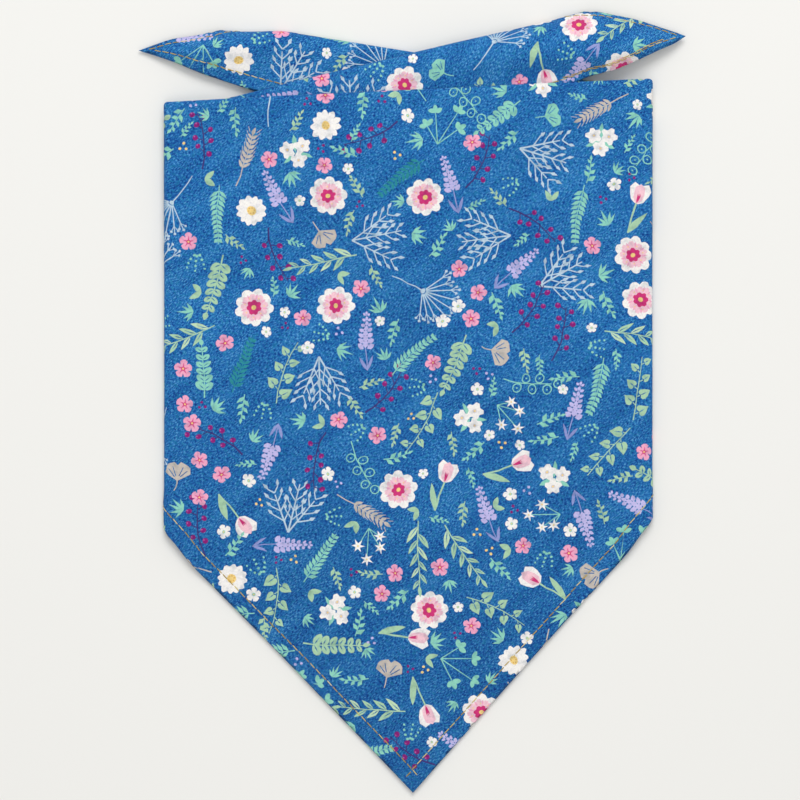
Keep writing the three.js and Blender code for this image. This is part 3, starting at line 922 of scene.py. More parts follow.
def triangulated(places, edges, border):
    """A flat triangulation inside the border, which the first places make: places and triangles."""
    loop = [(k, (k + 1) % border) for k in range(border)]
    given = [Vector(p) for p in places.tolist()]
    cut = delaunay_2d_cdt(given, loop + edges, [], 0, 1e-5, False)
    flat = np.array([tuple(p) for p in cut[0]])
    tris = np.array(cut[2])
    keep = even_odd(flat[tris].mean(axis=1), places[:border])
    # Thin triangles along the border are told apart by what they join
    rim = (tris < border).sum(axis=1) > 1
    clockwise = cross2(places[:border], np.roll(places[:border], -1, axis=0)).sum() < 0
    steps = set(loop)
    for number in np.flatnonzero(rim):
        a, b, c = tris[number].tolist()
        pairs = [(a, b), (b, c), (c, a)]
        if any((q, p) in steps for p, q in pairs):
            keep[number] = clockwise
        elif any((p, q) in steps for p, q in pairs):
            keep[number] = not clockwise
    return flat, tris[keep]


def run_of(line):
    """How far along a line each of its points is."""
    return np.append(0, np.cumsum(np.linalg.norm(np.diff(line, axis=0), axis=1)))


def along(line, runs, arcs):
    return np.stack([np.interp(arcs, runs, line[:, k]) for k in (0, 1)], axis=1)


def inward_of(line, runs, arcs):
    """Directions to the right of a line, at places so far along it."""
    return rightward(along(line, runs, arcs + TREND) - along(line, runs, arcs - TREND))


def spaced(line, spacing):
    """Places evenly along a line: how far along, where, and the directions to the right."""
    runs = run_of(line)
    count = max(2, int(round(runs[-1] / spacing)) + 1)
    arcs = np.linspace(0, runs[-1], count)
    return arcs, along(line, runs, arcs), inward_of(line, runs, arcs)


def tree_of(places):
    tree = KDTree(len(places))
    for k, place in enumerate(places.tolist()):
        tree.insert((*place, 0), k)
    tree.balance()
    return tree


def clear_of(places, others, gaps):
    """Which places keep their gap to the others."""
    tree = tree_of(others)
    return np.array([tree.find((*p, 0))[2] for p in places.tolist()]) > gaps


# How far from a wing's tip, and how far in from the edge the hem is sewn there
NECK_SEWN_LEFT = ((0, 8, 20, 62, 110), (1.2, 2.4, 3.2, 3.4, 6.0))
NECK_SEWN_RIGHT = ((0, 10, 17, 28, 39), (1.2, 2.6, 3.8, 5.1, 6.0))
LEG_SEWN_LEFT = ((0, 12, 25, 44, 80), (1.0, 1.8, 3.2, 3.4, 7.0))
LEG_SEWN_RIGHT = ((0, 10, 20, 36, 75), (1.0, 1.8, 2.9, 3.2, 7.0))


def sewn_in(side, arcs, whole):
    """How far in from one of the three edges its hem is sewn, narrower towards the tips."""
    if side == NECK:
        return np.minimum(np.interp(arcs, *NECK_SEWN_LEFT), np.interp(whole - arcs, *NECK_SEWN_RIGHT))
    if side == RIGHT_LEG:
        return np.interp(arcs, *LEG_SEWN_RIGHT)
    return np.interp(whole - arcs, *LEG_SEWN_LEFT)


# The unevenness of the cloth: wavelength, direction in degrees, phase and height of each ripple
RIPPLES = [
    (74, 20, 0.4, 0.12),
    (58, 100, 2.1, 0.10),
    (43, 155, 4.0, 0.07),
    (31, 62, 1.2, 0.04),
    (96, 130, 5.1, 0.13),
]
RIPPLE_LIFT = 0.4
UNDER_RIPPLE = 0.15  # share of it off the panel, and of the puckers on the wings' main layers
CALM_TOP, CALM_SIDE = 25, 12  # from the panel's folds, over which it grows
PUCKER, PUCKER_RUN = 0.34, 7
PUCKER_WAVE, PUCKER_DRIFT, PUCKER_SWELL = 17, 53, 29  # wavelengths: theirs, and of what varies them
GROOVE, GROOVE_RUN = 0.26, 0.6
HOLE_SHARE = 0.45  # of the groove's depth, only where the thread goes through


def ripple(flat):
    """The slow unevenness of cloth that lies loose."""
    total = 0
    for wave, angle, phase, height in RIPPLES:
        angle = math.radians(angle)
        run = flat[:, 0] * math.cos(angle) + flat[:, 1] * math.sin(angle)
        total = total + height * np.sin(TAU * run / wave + phase)
    return total


def pucker(far, arc):
    """The small waves that a stitched hem draws in the cloth, from 0 to 1."""
    waves = np.sin(TAU * arc / PUCKER_WAVE + 0.9 * np.sin(TAU * arc / PUCKER_DRIFT))
    waves = waves * (0.7 + 0.3 * np.sin(TAU * arc / PUCKER_SWELL))
    return (0.5 + 0.5 * waves) * np.exp(-(((far - STITCH_LINE) / PUCKER_RUN) ** 2))


def groove(far, arc):
    """What the stitches pull in, deepest where the thread goes through."""
    hole = 0.5 + 0.5 * np.cos(TAU * arc / STITCH_PITCH)
    depth = GROOVE * np.exp(-(((far - STITCH_LINE) / GROOVE_RUN) ** 2))
    return depth * (1 - HOLE_SHARE + HOLE_SHARE * hole)


class Cloth:
    """The flat cloth and its way into its folded place."""

    def __init__(self):
        points, loop, kinds = base_points()
        order = loop + sorted(set(range(len(points))) - set(loop))
        self.ground = points[order, 2:]
        self.folded = points[order, :2]
        self.spare, self.rolled = kinds[order].T
        self.outline = self.ground[: len(loop)]
        flat, self.tris = triangulated(self.ground, [], len(loop))
        self.tree = BVHTree.FromPolygons([(*p, 0) for p in flat.tolist()], self.tris.tolist())
        self.sides = self.split()
        self.trace_edges()

    def split(self):
        """The three edges as lines in the flat cloth, with the cloth on their right."""
        s = self.folded[: len(self.outline), 0]
        tip = int(np.argmax(s))
        point = tip + int(np.argmin(np.abs(s[tip:] - POINT_X)))
        ring = np.vstack([self.outline, self.outline[:1]])
        corners = (0, tip, point, len(ring) - 1)
        return [ring[a : b + 1] for a, b in zip(corners, corners[1:])]

    def trace_edges(self, spacing=0.5):
        """Close-set places on the edges, to find the nearest one by."""
        traced, before = [], 0
        for side, line in enumerate(self.sides):
            arcs, spots, inward = spaced(line, spacing)
            share = sewn_in(side, arcs, arcs[-1]) / STITCH_LINE
            traced.append(np.column_stack([spots, inward, arcs, arcs + before, share]))
            before += arcs[-1]
        traced = np.vstack(traced)
        self.edge_spots, self.edge_inward = traced[:, 0:2], traced[:, 2:4]
        self.edge_arcs, self.ring_arcs, self.hem_share = traced[:, 4:].T
        self.edge_tree = tree_of(self.edge_spots)

    def edge_by(self, flat):
        """Each place's distance from the nearest edge, and that edge place's number."""
        found = [self.edge_tree.find((*p, 0)) for p in flat.tolist()]
        return np.array([far for _, _, far in found]), np.array([k for _, k, _ in found])

    def border(self, numbers):
        """The outline, with a point added at each of these edge places."""
        ring = np.vstack([self.outline, self.outline[:1]])
        runs = run_of(ring)
        added = self.ring_arcs[np.unique(numbers)] * runs[-1] / self.ring_arcs[-1]
        added = added[np.abs(added[:, None] - runs[None]).min(axis=1) > BORDER_GAP]
        added = added[np.append(True, np.diff(added) > BORDER_GAP)]
        return along(ring, runs, np.sort(np.concatenate([runs[:-1], added])))

    def fold(self, flat):
        """(s, b) of flat places."""
        hits = [self.tree.find_nearest((*p, 0)) for p in flat.tolist()]
        near = np.array([tuple(hit[0])[:2] for hit in hits])
        tri = self.tris[[hit[2] for hit in hits]]
        a, b, c = (self.ground[tri[:, k]] for k in range(3))
        whole = cross2(b - a, c - a)
        share_b = cross2(near - a, c - a) / whole
        share_c = cross2(b - a, near - a) / whole
        shares = np.stack([1 - share_b - share_c, share_b, share_c], axis=1)
        return (self.folded[tri] * shares[:, :, None]).sum(axis=1)

    def surface(self, flat):
        """Places on the middle of the folded cloth, its normals, and each place's distances across
        and along the hem, across as on a hem of full width."""
        s, b = self.fold(flat).T
        places, normals = middle(s, b), facing(s, b)
        far, number = self.edge_by(flat)
        far = far / self.hem_share[number]
        arc = self.edge_arcs[number]
        on_panel = smooth((b - ROLL_LENGTH) / CALM_TOP)
        on_panel *= smooth((PANEL_RIGHT - s) / CALM_SIDE) * smooth((s - PANEL_LEFT) / CALM_SIDE)
        under = smooth(b / ROLL_LENGTH) * (turn_at(s)[0] > 0.5)
        rise = lerp(UNDER_RIPPLE * ripple(flat), RIPPLE_LIFT + ripple(flat), on_panel)
        rise += PUCKER * pucker(far, arc) * lerp(1, UNDER_RIPPLE, under)
        return places + normals * rise[:, None], normals, far, arc


# The mesh of the cloth
FRONT_ROWS = {1.5: 2, 6.2: 1, 7.0: 1, 7.8: 1, 9.4: 2}  # insets, and half stitches from place to place
BACK_ROWS = {1.3: 2, 7.0: 1, 7.9: 2, 8.4: 2}
ROW_KEEPS = 0.97  # of its inset, or it has come near another edge
HEM_SHOWS, HEM_FADES = 0.14, 1.2  # how high the hem stands out in front, and fades over
HEM_EDGE, HEM_FOOT = 7.9, 8.4  # where the turned-up hem's inner edge falls to the wrong side
EDGE_ROOM = 0.3  # between the edge and the print's corners
EDGE_CUTS = 12.9  # past the edge, the furthest corner that gives the border a point
FOLD_NEAR, FOLD_STEP = 0.6, 0.6
FINE_INKS = ("shade", "ochre", "berry_light", "vein", "yellow")  # too fine to show through
THROUGH_CLEAR = 0.2  # of the hem's foot
THROUGH_INSIDE = 6  # of a wing, past which the panel's wrong side is covered
THROUGH_CORNERS = 9  # the most that a shape shows through with, or every second is left out
EDGES_MEET = 0.01
GROUND_GAP, ROLL_GAP = 1.6, 0.3  # between the ground's points and the print's
RIM_ROWS = 2
BAKE_MARGIN = 0.01
RIM_SPREAD = 0.45  # from row to row round the rim, in the flat


def hem_rows(cloth, insets):
    """Lines of places along the hems, so far in from the edges."""
    rows = []
    for side, line in enumerate(cloth.sides):
        arcs, spots, inward = spaced(line, STITCH_PITCH / 2)
        share = sewn_in(side, arcs, arcs[-1]) / STITCH_LINE
        for inset, step in insets.items():
            wide = inset * share[::step]
            row = spots[::step] + inward[::step] * wide[:, None]
            kept = (cloth.edge_by(row)[0] > wide * ROW_KEEPS) & even_odd(row, cloth.outline)
            halfway = (row[1:] + row[:-1]) / 2
            joined = (cloth.edge_by(halfway)[0] > wide[1:] / 2) & even_odd(halfway, cloth.outline)
            joined &= kept[1:] & kept[:-1]
            parts = np.split(np.arange(len(row)), np.flatnonzero(~joined) + 1)
            rows += [row[part] for part in parts if kept[part].all()]
    return rows


def apart_again(values, shapes):
    """What was worked out for all the shapes' points at once, shape by shape."""
    return np.split(values, np.cumsum([len(shape) for shape in shapes])[:-1])


def drawn_in(cloth, shapes):
    """The shapes with their corners kept inside the edge, and the edge places that cut them."""
    corners = np.vstack(shapes)
    far, number = cloth.edge_by(corners)
    over = (far < EDGE_ROOM) | ~even_odd(corners, cloth.outline)
    cut = number[over]
    corners[over] = cloth.edge_spots[cut] + cloth.edge_inward[cut] * EDGE_ROOM
    return apart_again(corners, shapes), cut[far[over] < EDGE_CUTS]


def bent_to_folds(cloth, shapes):
    """The shapes, with more points on each line that runs over a fold."""
    found = []
    for shape, places in zip(shapes, apart_again(cloth.fold(np.vstack(shapes)), shapes)):
        after, places_after = np.roll(shape, -1, axis=0), np.roll(places, -1, axis=0)
        low, high = np.minimum(places, places_after), np.maximum(places, places_after)
        over = (low[:, 1] < ROLL_LENGTH + FOLD_NEAR) & (high[:, 1] > -FOLD_NEAR)
        for a, b in SIDE_FOLDS:
            over |= (low[:, 0] < b) & (high[:, 0] > a)
        rows = []
        for start, end, split in zip(shape, after, over):
            count = max(1, int(np.linalg.norm(end - start) / FOLD_STEP)) if split else 1
            rows.append(start + (end - start) * (np.arange(count) / count)[:, None])
        found.append(np.vstack(rows))
    return found


def woven_in(cloth, border, shapes, rows):
    """Flat places and triangles with the shapes' and rows' lines among their edges."""
    extra, edges, first = [], [], len(border)
    for lines, closed in ((rows, 0), (shapes, 1)):
        for line in lines:
            count = len(line)
            extra.append(line)
            edges += [(first + k, first + (k + 1) % count) for k in range(count - 1 + closed)]
            first += count
    extra = np.vstack(extra)
    inner = np.flatnonzero(~cloth.spare[len(cloth.outline) :]) + len(cloth.outline)
    gaps = np.where(cloth.rolled[inner], ROLL_GAP, GROUND_GAP)
    inner = cloth.ground[inner]
    inner = inner[clear_of(inner, extra, gaps)]
    return triangulated(np.vstack([border, extra, inner]), edges, len(border))


def inks_of(middles, drawn):
    """For each of some places, the number of the ink printed there, or -1."""
    order = np.argsort(middles[:, 0])
    x, y = middles[order].T
    found = np.full(len(middles), -1)
    names = list(INKS)
    for ink, shape, _ in drawn:
        low, high = shape.min(axis=0), shape.max(axis=0)
        a, b = np.searchsorted(x, (low[0], high[0]))
        rows = a + np.flatnonzero((y[a:b] > low[1]) & (y[a:b] < high[1]))
        if len(rows):
            rows = rows[even_odd(np.stack([x[rows], y[rows]], axis=1), shape)]
            found[order[rows]] = names.index(ink)
    return found


def loop_round(tris, count):
    """The vertices round a triangulation's open edge, in order."""
    ahead = np.concatenate([tris[:, (0, 1)], tris[:, (1, 2)], tris[:, (2, 0)]]).astype(np.int64)
    keys, back = ahead[:, 0] * count + ahead[:, 1], ahead[:, 1] * count + ahead[:, 0]
    follows = dict(ahead[~np.isin(keys, back)].tolist())
    loop = [min(follows)]
    while len(loop) < len(follows):
        loop.append(follows[loop[-1]])
    return np.array(loop)


def printed_face(cloth, drawn):
    """The printed side in the flat: places, triangles, their inks, and the loop of its edge."""
    shapes, cut = drawn_in(cloth, bent_to_folds(cloth, [shape for _, shape, _ in drawn]))
    flat, tris = woven_in(cloth, cloth.border(cut), shapes, hem_rows(cloth, FRONT_ROWS))
    return flat, tris, inks_of(flat[tris].mean(axis=1), drawn), loop_round(tris, len(flat))


def shows_through(cloth, ink, shape, centre):
    """Whether a shape shows on the wrong side of the panel, below both folded wings."""
    x, y = centre
    if ink in FINE_INKS or not PANEL_LEFT < x < PANEL_RIGHT:
        return False
    if max(inside_main(wing, x, y) for wing in (LEFT_WING, RIGHT_WING)) >= THROUGH_INSIDE:
        return False
    clear = cloth.edge_by(shape)[0].min() > HEM_FOOT + THROUGH_CLEAR
    return clear and even_odd(shape, cloth.outline).all()


def wrong_face(cloth, drawn, border):
    """The wrong side likewise, inside the printed side's own edge. The print shows faintly where
    the folded wings leave the cloth bare."""
    shown = []
    for ink, shape, centre in drawn:
        if shows_through(cloth, ink, shape, centre):
            shown.append((ink, shape[:: 2 if len(shape) > THROUGH_CORNERS else 1], centre))
    shapes = [shape for _, shape, _ in shown]
    flat, tris = woven_in(cloth, border[::-1], shapes, hem_rows(cloth, BACK_ROWS))
    loop = loop_round(tris, len(flat))
    loop = np.roll(loop, -int(np.argmin(np.linalg.norm(flat[loop] - border[0], axis=1))))
    if np.abs(flat[loop] - border).max() > EDGES_MEET:
        raise RuntimeError("the two faces' edges lie apart")
    return flat, tris, inks_of(flat[tris].mean(axis=1), shown), loop


def round_ring(ring):
    """The way from the place before each to the place after, round a closed ring."""
    return np.roll(ring, -1, axis=0) - np.roll(ring, 1, axis=0)


def rim_rows(middles, ups, high, low, edge):
    """The rows that go round from the front's edge to the back's, in place and in the flat, and how
    far in the two edges are drawn for them."""
    out = unit(np.cross(round_ring(middles), ups))
    centre, half = (high + low) / 2, (high - low) / 2
    places, flat = [], []
    for k in range(1, RIM_ROWS + 1):
        angle = math.pi * k / (RIM_ROWS + 1)
        rise = centre + half * math.cos(angle)
        bulge = half * (math.sin(angle) - 1)
        places.append(middles + ups * rise[:, None] + out * bulge[:, None])
        flat.append(edge + rightward(round_ring(edge)) * RIM_SPREAD * k)
    return places, flat, out * half[:, None]


def rim_inks(tris, inks, loop):
    """The ink beside each of the open edge's steps."""
    beside = {}
    at_edge = np.isin(tris, loop).sum(axis=1) > 1
    for (a, b, c), ink in zip(tris[at_edge].tolist(), inks[at_edge]):
        beside.update({(a, b): ink, (b, c): ink, (c, a): ink})
    return np.array([beside[edge] for edge in zip(loop.tolist(), np.roll(loop, -1).tolist())])


def cloth_piece(cloth, drawn):
    """The printed cotton, both faces and the rim between them, as one closed mesh."""
    front, front_tris, front_inks, front_loop = printed_face(cloth, drawn)
    back, back_tris, back_inks, back_loop = wrong_face(cloth, drawn, front[front_loop])

    # Heights over and under the middle of the wall
    places, normals, far, arc = cloth.surface(front)
    raised = CLOTH / 2 + HEM_SHOWS * (1 - smooth((far - HEM_WIDTH) / HEM_FADES)) - groove(far, arc)
    front_at = places + normals * raised[:, None]
    middles, ups = places[front_loop], normals[front_loop]
    places, normals, far, arc = cloth.surface(back)
    hem = HEM_EXTRA * (1 - smooth((far - HEM_EDGE) / (HEM_FOOT - HEM_EDGE)))
    back_at = places - normals * (CLOTH / 2 + hem - groove(far, arc))[:, None]
    high = ((front_at[front_loop] - middles) * ups).sum(axis=1)
    low = ((back_at[back_loop] - middles) * ups).sum(axis=1)
    rows_at, rows_flat, inset = rim_rows(middles, ups, high, low, front[front_loop])
    front_at[front_loop] -= inset
    back_at[back_loop] -= inset

    ring = len(front_loop)
    backs = len(front) + RIM_ROWS * ring
    rings = [len(front) + k * ring + np.arange(ring) for k in range(RIM_ROWS)]
    rings = [front_loop, *rings, back_loop + backs]
    rim = []
    for a, b in zip(rings, rings[1:]):
        a2, b2 = np.roll(a, -1), np.roll(b, -1)
        rim += [np.stack([a, b, a2], axis=1), np.stack([a2, b, b2], axis=1)]
    rim_ink = np.tile(rim_inks(front_tris, front_inks, front_loop), len(rim))
    hemmed = far[back_tris].mean(axis=1) < HEM_FOOT
    return cloth_mesh(
        places=np.vstack([front_at, *rows_at, back_at]),
        flat=np.vstack([front, *rows_flat, back]),
        tris=np.vstack([front_tris, *rim, back_tris[:, ::-1] + backs]),
        inks=np.concatenate([front_inks, rim_ink, np.where(hemmed, -1, back_inks)]),
        wrong=np.concatenate([np.zeros(len(front_tris) + len(rim) * ring, bool), ~hemmed]),
        backs=backs,
    )


def placed(name, data):
    """A new object in the scene."""
    thing = bpy.data.objects.new(name, data)
    bpy.context.collection.objects.link(thing)
    return thing


def smooth_piece(name, places, faces):
    mesh = bpy.data.meshes.new(name)
    mesh.from_pydata((places * MM).tolist(), [], faces)
    mesh.polygons.foreach_set("use_smooth", np.ones(len(faces), bool))
    return placed(name, mesh)


def give(mesh, name, domain, values):
    """An attribute for the materials: a number or three for each point or face."""
    kind, field = ("FLOAT", "value") if values.ndim == 1 else ("FLOAT_VECTOR", "vector")
    mesh.attributes.new(name, kind, domain).data.foreach_set(field, values.ravel())


def linear(colour):
    """A display colour as linear light."""
    c = np.array(colour) / 255
    return np.where(c <= 0.04045, c / 12.92, ((c + 0.055) / 1.055) ** 2.4)


def cloth_mesh(places, flat, tris, inks, wrong, backs):
    bandana = smooth_piece("bandana", places, tris.tolist())
    mesh = bandana.data
    mesh.polygons.foreach_set("material_index", wrong.astype(np.int32))
    colours = [*INKS.values(), None]
    give(mesh, "ink_colour", "FACE", np.array([linear(c or (0, 0, 0)) for c in colours])[inks])
    give(mesh, "ink_amount", "FACE", np.array([c is not None for c in colours], float)[inks])
    give(mesh, "flat", "POINT", np.column_stack([flat, np.zeros(len(flat))]))
    uvs = bake_map(flat, backs)[tris.ravel()]
    mesh.uv_layers.new(name="OFBake").data.foreach_set("uv", uvs.ravel())
    return bandana


def bake_map(flat, backs):
    """The printed face above and the wrong side smaller below it, on one square."""
    low, high = flat.min(axis=0), flat.max(axis=0)
    wide, tall = high - low
    large = (1 - 2 * BAKE_MARGIN) / wide
    small = (1 - 4 * BAKE_MARGIN - large * tall) / tall
    mapped = (flat - low) * large + (BAKE_MARGIN, 1 - BAKE_MARGIN - large * tall)
    mapped[backs:] = (flat[backs:] - low) * small + (BAKE_MARGIN, BAKE_MARGIN)
    return mapped


# The topstitching
STITCH_GAP = 0.14  # between one stitch and the next, where the thread is inside the cloth
STITCH_STEPS, STITCH_SIDES = 7, 6
STITCH_SEED = 71
STITCH_ENDS = 0.6  # from an edge's ends to its first and last stitches
STITCH_CLEAR = 0.9  # least distance to an edge
STITCH_SINKS = 0.75  # share of the groove that the thread follows
STITCH_SLANT, STITCH_STRAY = 0.09, 0.05  # to each side: a stitch's ends, and all of it at random
STITCH_WANDER = ((0.14, 23), (0.08, 9.1))  # the line's slow waves: height, and length over 2 pi
THREAD_ARCH = 0.4  # the less it is, the sooner a stitch is at its full height
THREAD_WIDE, THREAD_TALL = 0.52, 0.44  # of its diameter, to each side of its middle
THREAD_ENDS, THREAD_SLIMS = 1.2, 0.25  # how far its ends go in, and how much slimmer they are
THREAD_STANDS = 1.85  # how far its middle stands above its ends, in half diameters
TACK = {"side": NECK, "from": 9, "to": 64, "aside": 0.8, "shift": 1.3}  # sewn twice on the neck edge


def stitch_line(cloth, side, aside=0.0, low=0.0, high=1e9, shift=0.0):
    """Every stitch's places from end to end, in the flat, along one edge."""
    line = cloth.sides[side]
    runs = run_of(line)
    rng = random.Random(STITCH_SEED + side)
    first = max(STITCH_ENDS, low) + shift
    last = min(runs[-1] - STITCH_ENDS, high) - STITCH_PITCH
    found = []
    for start in np.arange(first, last, STITCH_PITCH):
        from_, to = start + STITCH_GAP / 2, start + STITCH_PITCH - STITCH_GAP / 2
        arcs = np.linspace(from_, to, STITCH_STEPS)
        wander = sum(height * math.sin(start / run) for height, run in STITCH_WANDER)
        slant = np.linspace(-STITCH_SLANT, STITCH_SLANT, STITCH_STEPS)
        slant += rng.uniform(-STITCH_STRAY, STITCH_STRAY)
        inset = sewn_in(side, arcs, runs[-1]) + aside + wander + slant
        row = along(line, runs, arcs) + inward_of(line, runs, arcs) * inset[:, None]
        far, _ = cloth.edge_by(row[[0, -1]])
        if far.min() > STITCH_CLEAR and even_odd(row[[0, -1]], cloth.outline).all():
            found.append(row)
    return found


def tubes_along(middles, ups, slim):
    """Rings of points round the middle lines of stitches."""
    across = unit(np.cross(ups, np.gradient(middles, axis=1)))
    ring = []
    for k in range(STITCH_SIDES):
        turn = TAU * k / STITCH_SIDES
        wide, tall = THREAD * THREAD_WIDE * math.cos(turn), THREAD * THREAD_TALL * math.sin(turn)
        ring.append(middles + (across * wide + ups * tall) * slim)
    return np.stack(ring, axis=2)


def tube_faces(count):
    """The faces of so many tubes, each closed at its ends."""
    per = STITCH_STEPS * STITCH_SIDES
    faces = []
    for j in range(STITCH_STEPS - 1):
        for k in range(STITCH_SIDES):
            a, b = j * STITCH_SIDES + k, j * STITCH_SIDES + (k + 1) % STITCH_SIDES
            faces.append((a, a + STITCH_SIDES, b + STITCH_SIDES, b))
    faces += [tuple(range(STITCH_SIDES)), tuple(range(per - 1, per - 1 - STITCH_SIDES, -1))]
    return [tuple(number * per + k for k in face) for number in range(count) for face in faces]


def stitch_piece(cloth):
    """The thread of every stitch, on both faces, as one mesh of short tubes."""
    rows = [row for side in (NECK, RIGHT_LEG, LEFT_LEG) for row in stitch_line(cloth, side)]
    rows += stitch_line(cloth, TACK["side"], TACK["aside"], TACK["from"], TACK["to"], TACK["shift"])
    shape = (len(rows), STITCH_STEPS)
    places, normals, far, arc = cloth.surface(np.vstack(rows))
    share = np.tile(np.linspace(0, 1, STITCH_STEPS), len(rows))
    arch = np.sin(np.pi * share) ** THREAD_ARCH
    slim = (1 - THREAD_SLIMS + THREAD_SLIMS * arch).reshape(*shape, 1)
    lift = THREAD / 2 * (-THREAD_ENDS + THREAD_STANDS * arch)
    tubes = []
    for ups, height in ((normals, HEM_SHOWS), (-normals, HEM_EXTRA)):
        raised = CLOTH / 2 + height - groove(far, arc) * STITCH_SINKS + lift
        middles = (places + ups * raised[:, None]).reshape(*shape, 3)
        tubes.append(tubes_along(middles, ups.reshape(*shape, 3), slim))
    tubes = np.concatenate(tubes)
    stitches = smooth_piece("topstitching", tubes.reshape(-1, 3), tube_faces(len(tubes)))
    thread = np.zeros(tubes.shape)  # along the stitch, round it, and its number
    thread[..., 0] = np.linspace(0, STITCH_PITCH - STITCH_GAP, STITCH_STEPS)[None, :, None]
    thread[..., 1] = np.arange(STITCH_SIDES)[None, None] / STITCH_SIDES
    thread[..., 2] = np.arange(len(tubes))[:, None, None]
    give(stitches.data, "thread", "POINT", thread)
    return stitches


# Materials
THREAD_PITCH = 0.5  # of the weave
WEAVE_BUMP, PLY_BUMP = 0.0001, 0.00006  # metres
FLECK_LEAN = -38  # degrees


class Nodes:
    """A material's nodes, made and joined one call at a time. Its place is one of the mesh's
    attributes, and gives every noise its coordinates."""

    def __init__(self, name, place=None):
        self.material = bpy.data.materials.new(name)
        self.material.use_nodes = True
        self.tree = self.material.node_tree
        self.shader = self.tree.nodes["Principled BSDF"]
        self.place = place and self.read(place, 1)

    def add(self, kind, output=0, settings=(), **inputs):
        node = self.tree.nodes.new(kind)
        for name, value in dict(settings).items():
            setattr(node, name, value)
        for name, value in inputs.items():
            self.feed(node.inputs[int(name[1:])], value)
        return node.outputs[output]

    def feed(self, socket, value):
        if isinstance(value, bpy.types.NodeSocket):
            self.tree.links.new(value, socket)
        else:
            socket.default_value = value

    def surface(self, **inputs):
        for name, value in inputs.items():
            self.feed(self.shader.inputs[name.replace("_", " ")], value)

    def cloth_surface(self, colour, roughness, weave_depth, gloss, sheen):
        self.surface(Base_Color=colour, Roughness=roughness, Normal=self.weave(weave_depth))
        self.surface(Specular_IOR_Level=gloss, Sheen_Weight=sheen, Sheen_Roughness=0.5)
        return self.material

    def read(self, name, output):
        return self.add("ShaderNodeAttribute", output, {"attribute_name": name})

    def parts(self, vector):
        return self.add("ShaderNodeSeparateXYZ", i0=vector).node.outputs

    def math(self, kind, a, b=0.0, c=0.0):
        return self.add("ShaderNodeMath", settings={"operation": kind}, i0=a, i1=b, i2=c)

    def shifted(self, value, by, share):
        """A value with a share of how far another is over a half added to it."""
        return self.math("MULTIPLY_ADD", self.math("SUBTRACT", by, 0.5), share, value)

    def mix(self, amount, a, b, kind="MIX"):
        settings = {"data_type": "RGBA", "blend_type": kind}
        return self.add("ShaderNodeMix", 2, settings, i0=amount, i6=a, i7=b)

    def noise(self, angle, size, detail=2.0, roughness=0.5):
        """Noise turned by an angle in degrees, with grains so large each way."""
        settings = {"rotation_type": "Z_AXIS"}
        turn = math.radians(angle)
        place = self.add("ShaderNodeVectorRotate", 0, settings, i0=self.place, i3=turn)
        share = (1 / size[0], 1 / size[1], 1)
        place = self.add("ShaderNodeVectorMath", 0, {"operation": "MULTIPLY"}, i0=place, i1=share)
        return self.add("ShaderNodeTexNoise", i0=place, i2=1.0, i3=detail, i4=roughness)

    def over_range(self, value, low, high, least=0.0, most=1.0):
        return self.add("ShaderNodeMapRange", i0=value, i1=low, i2=high, i3=least, i4=most)

    def ramp(self, value, *stops):
        output = self.add("ShaderNodeValToRGB", i0=value)
        elements = output.node.color_ramp.elements
        while len(elements) < len(stops):
            elements.new(0.5)
        for element, (at, colour) in zip(elements, stops):
            element.position = at
            element.color = (*linear(colour), 1)
        return output

    def weave(self, strength):
        """A fine plain weave as bump, with slubs."""
        pitch = TAU / THREAD_PITCH
        x, y, _ = self.parts(self.place)
        warp, weft = (self.math("SINE", self.math("MULTIPLY", part, pitch)) for part in (x, y))
        slub = self.noise(0, (3.0, 0.4))
        height = self.math("MULTIPLY_ADD", self.math("MULTIPLY", warp, weft), 0.25, slub)
        return self.add("ShaderNodeBump", i0=strength, i1=WEAVE_BUMP, i3=height)


def denim(nodes):
    """A printed blue ground like denim, short slanting flecks over slow slanting streaks, and its
    flecks alone."""
    fleck = nodes.noise(-42, (1.2, 0.43), 1.5, 0.6)
    tone = nodes.shifted(fleck, nodes.noise(FLECK_LEAN, (34.0, 8.0)), 0.22)
    deep, dark, mid = (0.32, (6, 40, 114)), (0.42, (14, 70, 146)), (0.51, (27, 104, 174))
    light, pale = (0.6, (54, 134, 197)), (0.7, (104, 170, 214))
    blue = nodes.ramp(tone, deep, dark, mid, light, pale)
    tinge = nodes.over_range(nodes.noise(30, (1.9, 1.1), 1.0), 0.5, 0.68, 0.0, 0.55)
    ground = nodes.mix(tinge, blue, (*linear((24, 122, 162)), 1))
    # Painted shade: the ground is darker towards the point, and in slow patches
    height = nodes.shifted(nodes.parts(nodes.place)[1], nodes.noise(15, (90.0, 60.0), 1.0), 260.0)
    height = nodes.over_range(height, -170.0, 60.0)
    depth = nodes.ramp(height, (0.0, (226, 228, 232)), (1.0, (255, 255, 255)))
    return nodes.mix(1.0, ground, depth, "MULTIPLY"), fleck


def print_material():
    """The printed side: inks a little washed and worn, which let the denim through in specks."""
    nodes = Nodes("printed_cotton", "flat")
    ground, fleck = denim(nodes)
    grey = nodes.ramp(fleck, (0.3, (226, 226, 226)), (0.55, (255, 255, 255)))
    ink = nodes.mix(0.55, nodes.read("ink_colour", 0), grey, "MULTIPLY")
    wash = nodes.noise(0, (4.5, 4.5), 3.0, 0.6)
    worn, dull, fresh = (0.34, (206, 212, 214)), (0.5, (246, 246, 246)), (0.62, (255, 255, 250))
    ink = nodes.mix(0.8, ink, nodes.ramp(wash, worn, dull, fresh), "MULTIPLY")
    covers = nodes.over_range(nodes.noise(20, (0.5, 0.5), 3.0, 0.6), 0.28, 0.46, 0.72, 0.97)
    amount = nodes.math("MULTIPLY", nodes.read("ink_amount", 2), covers)
    return nodes.cloth_surface(nodes.mix(amount, ground, ink), 0.86, 0.5, 0.16, 0.05)


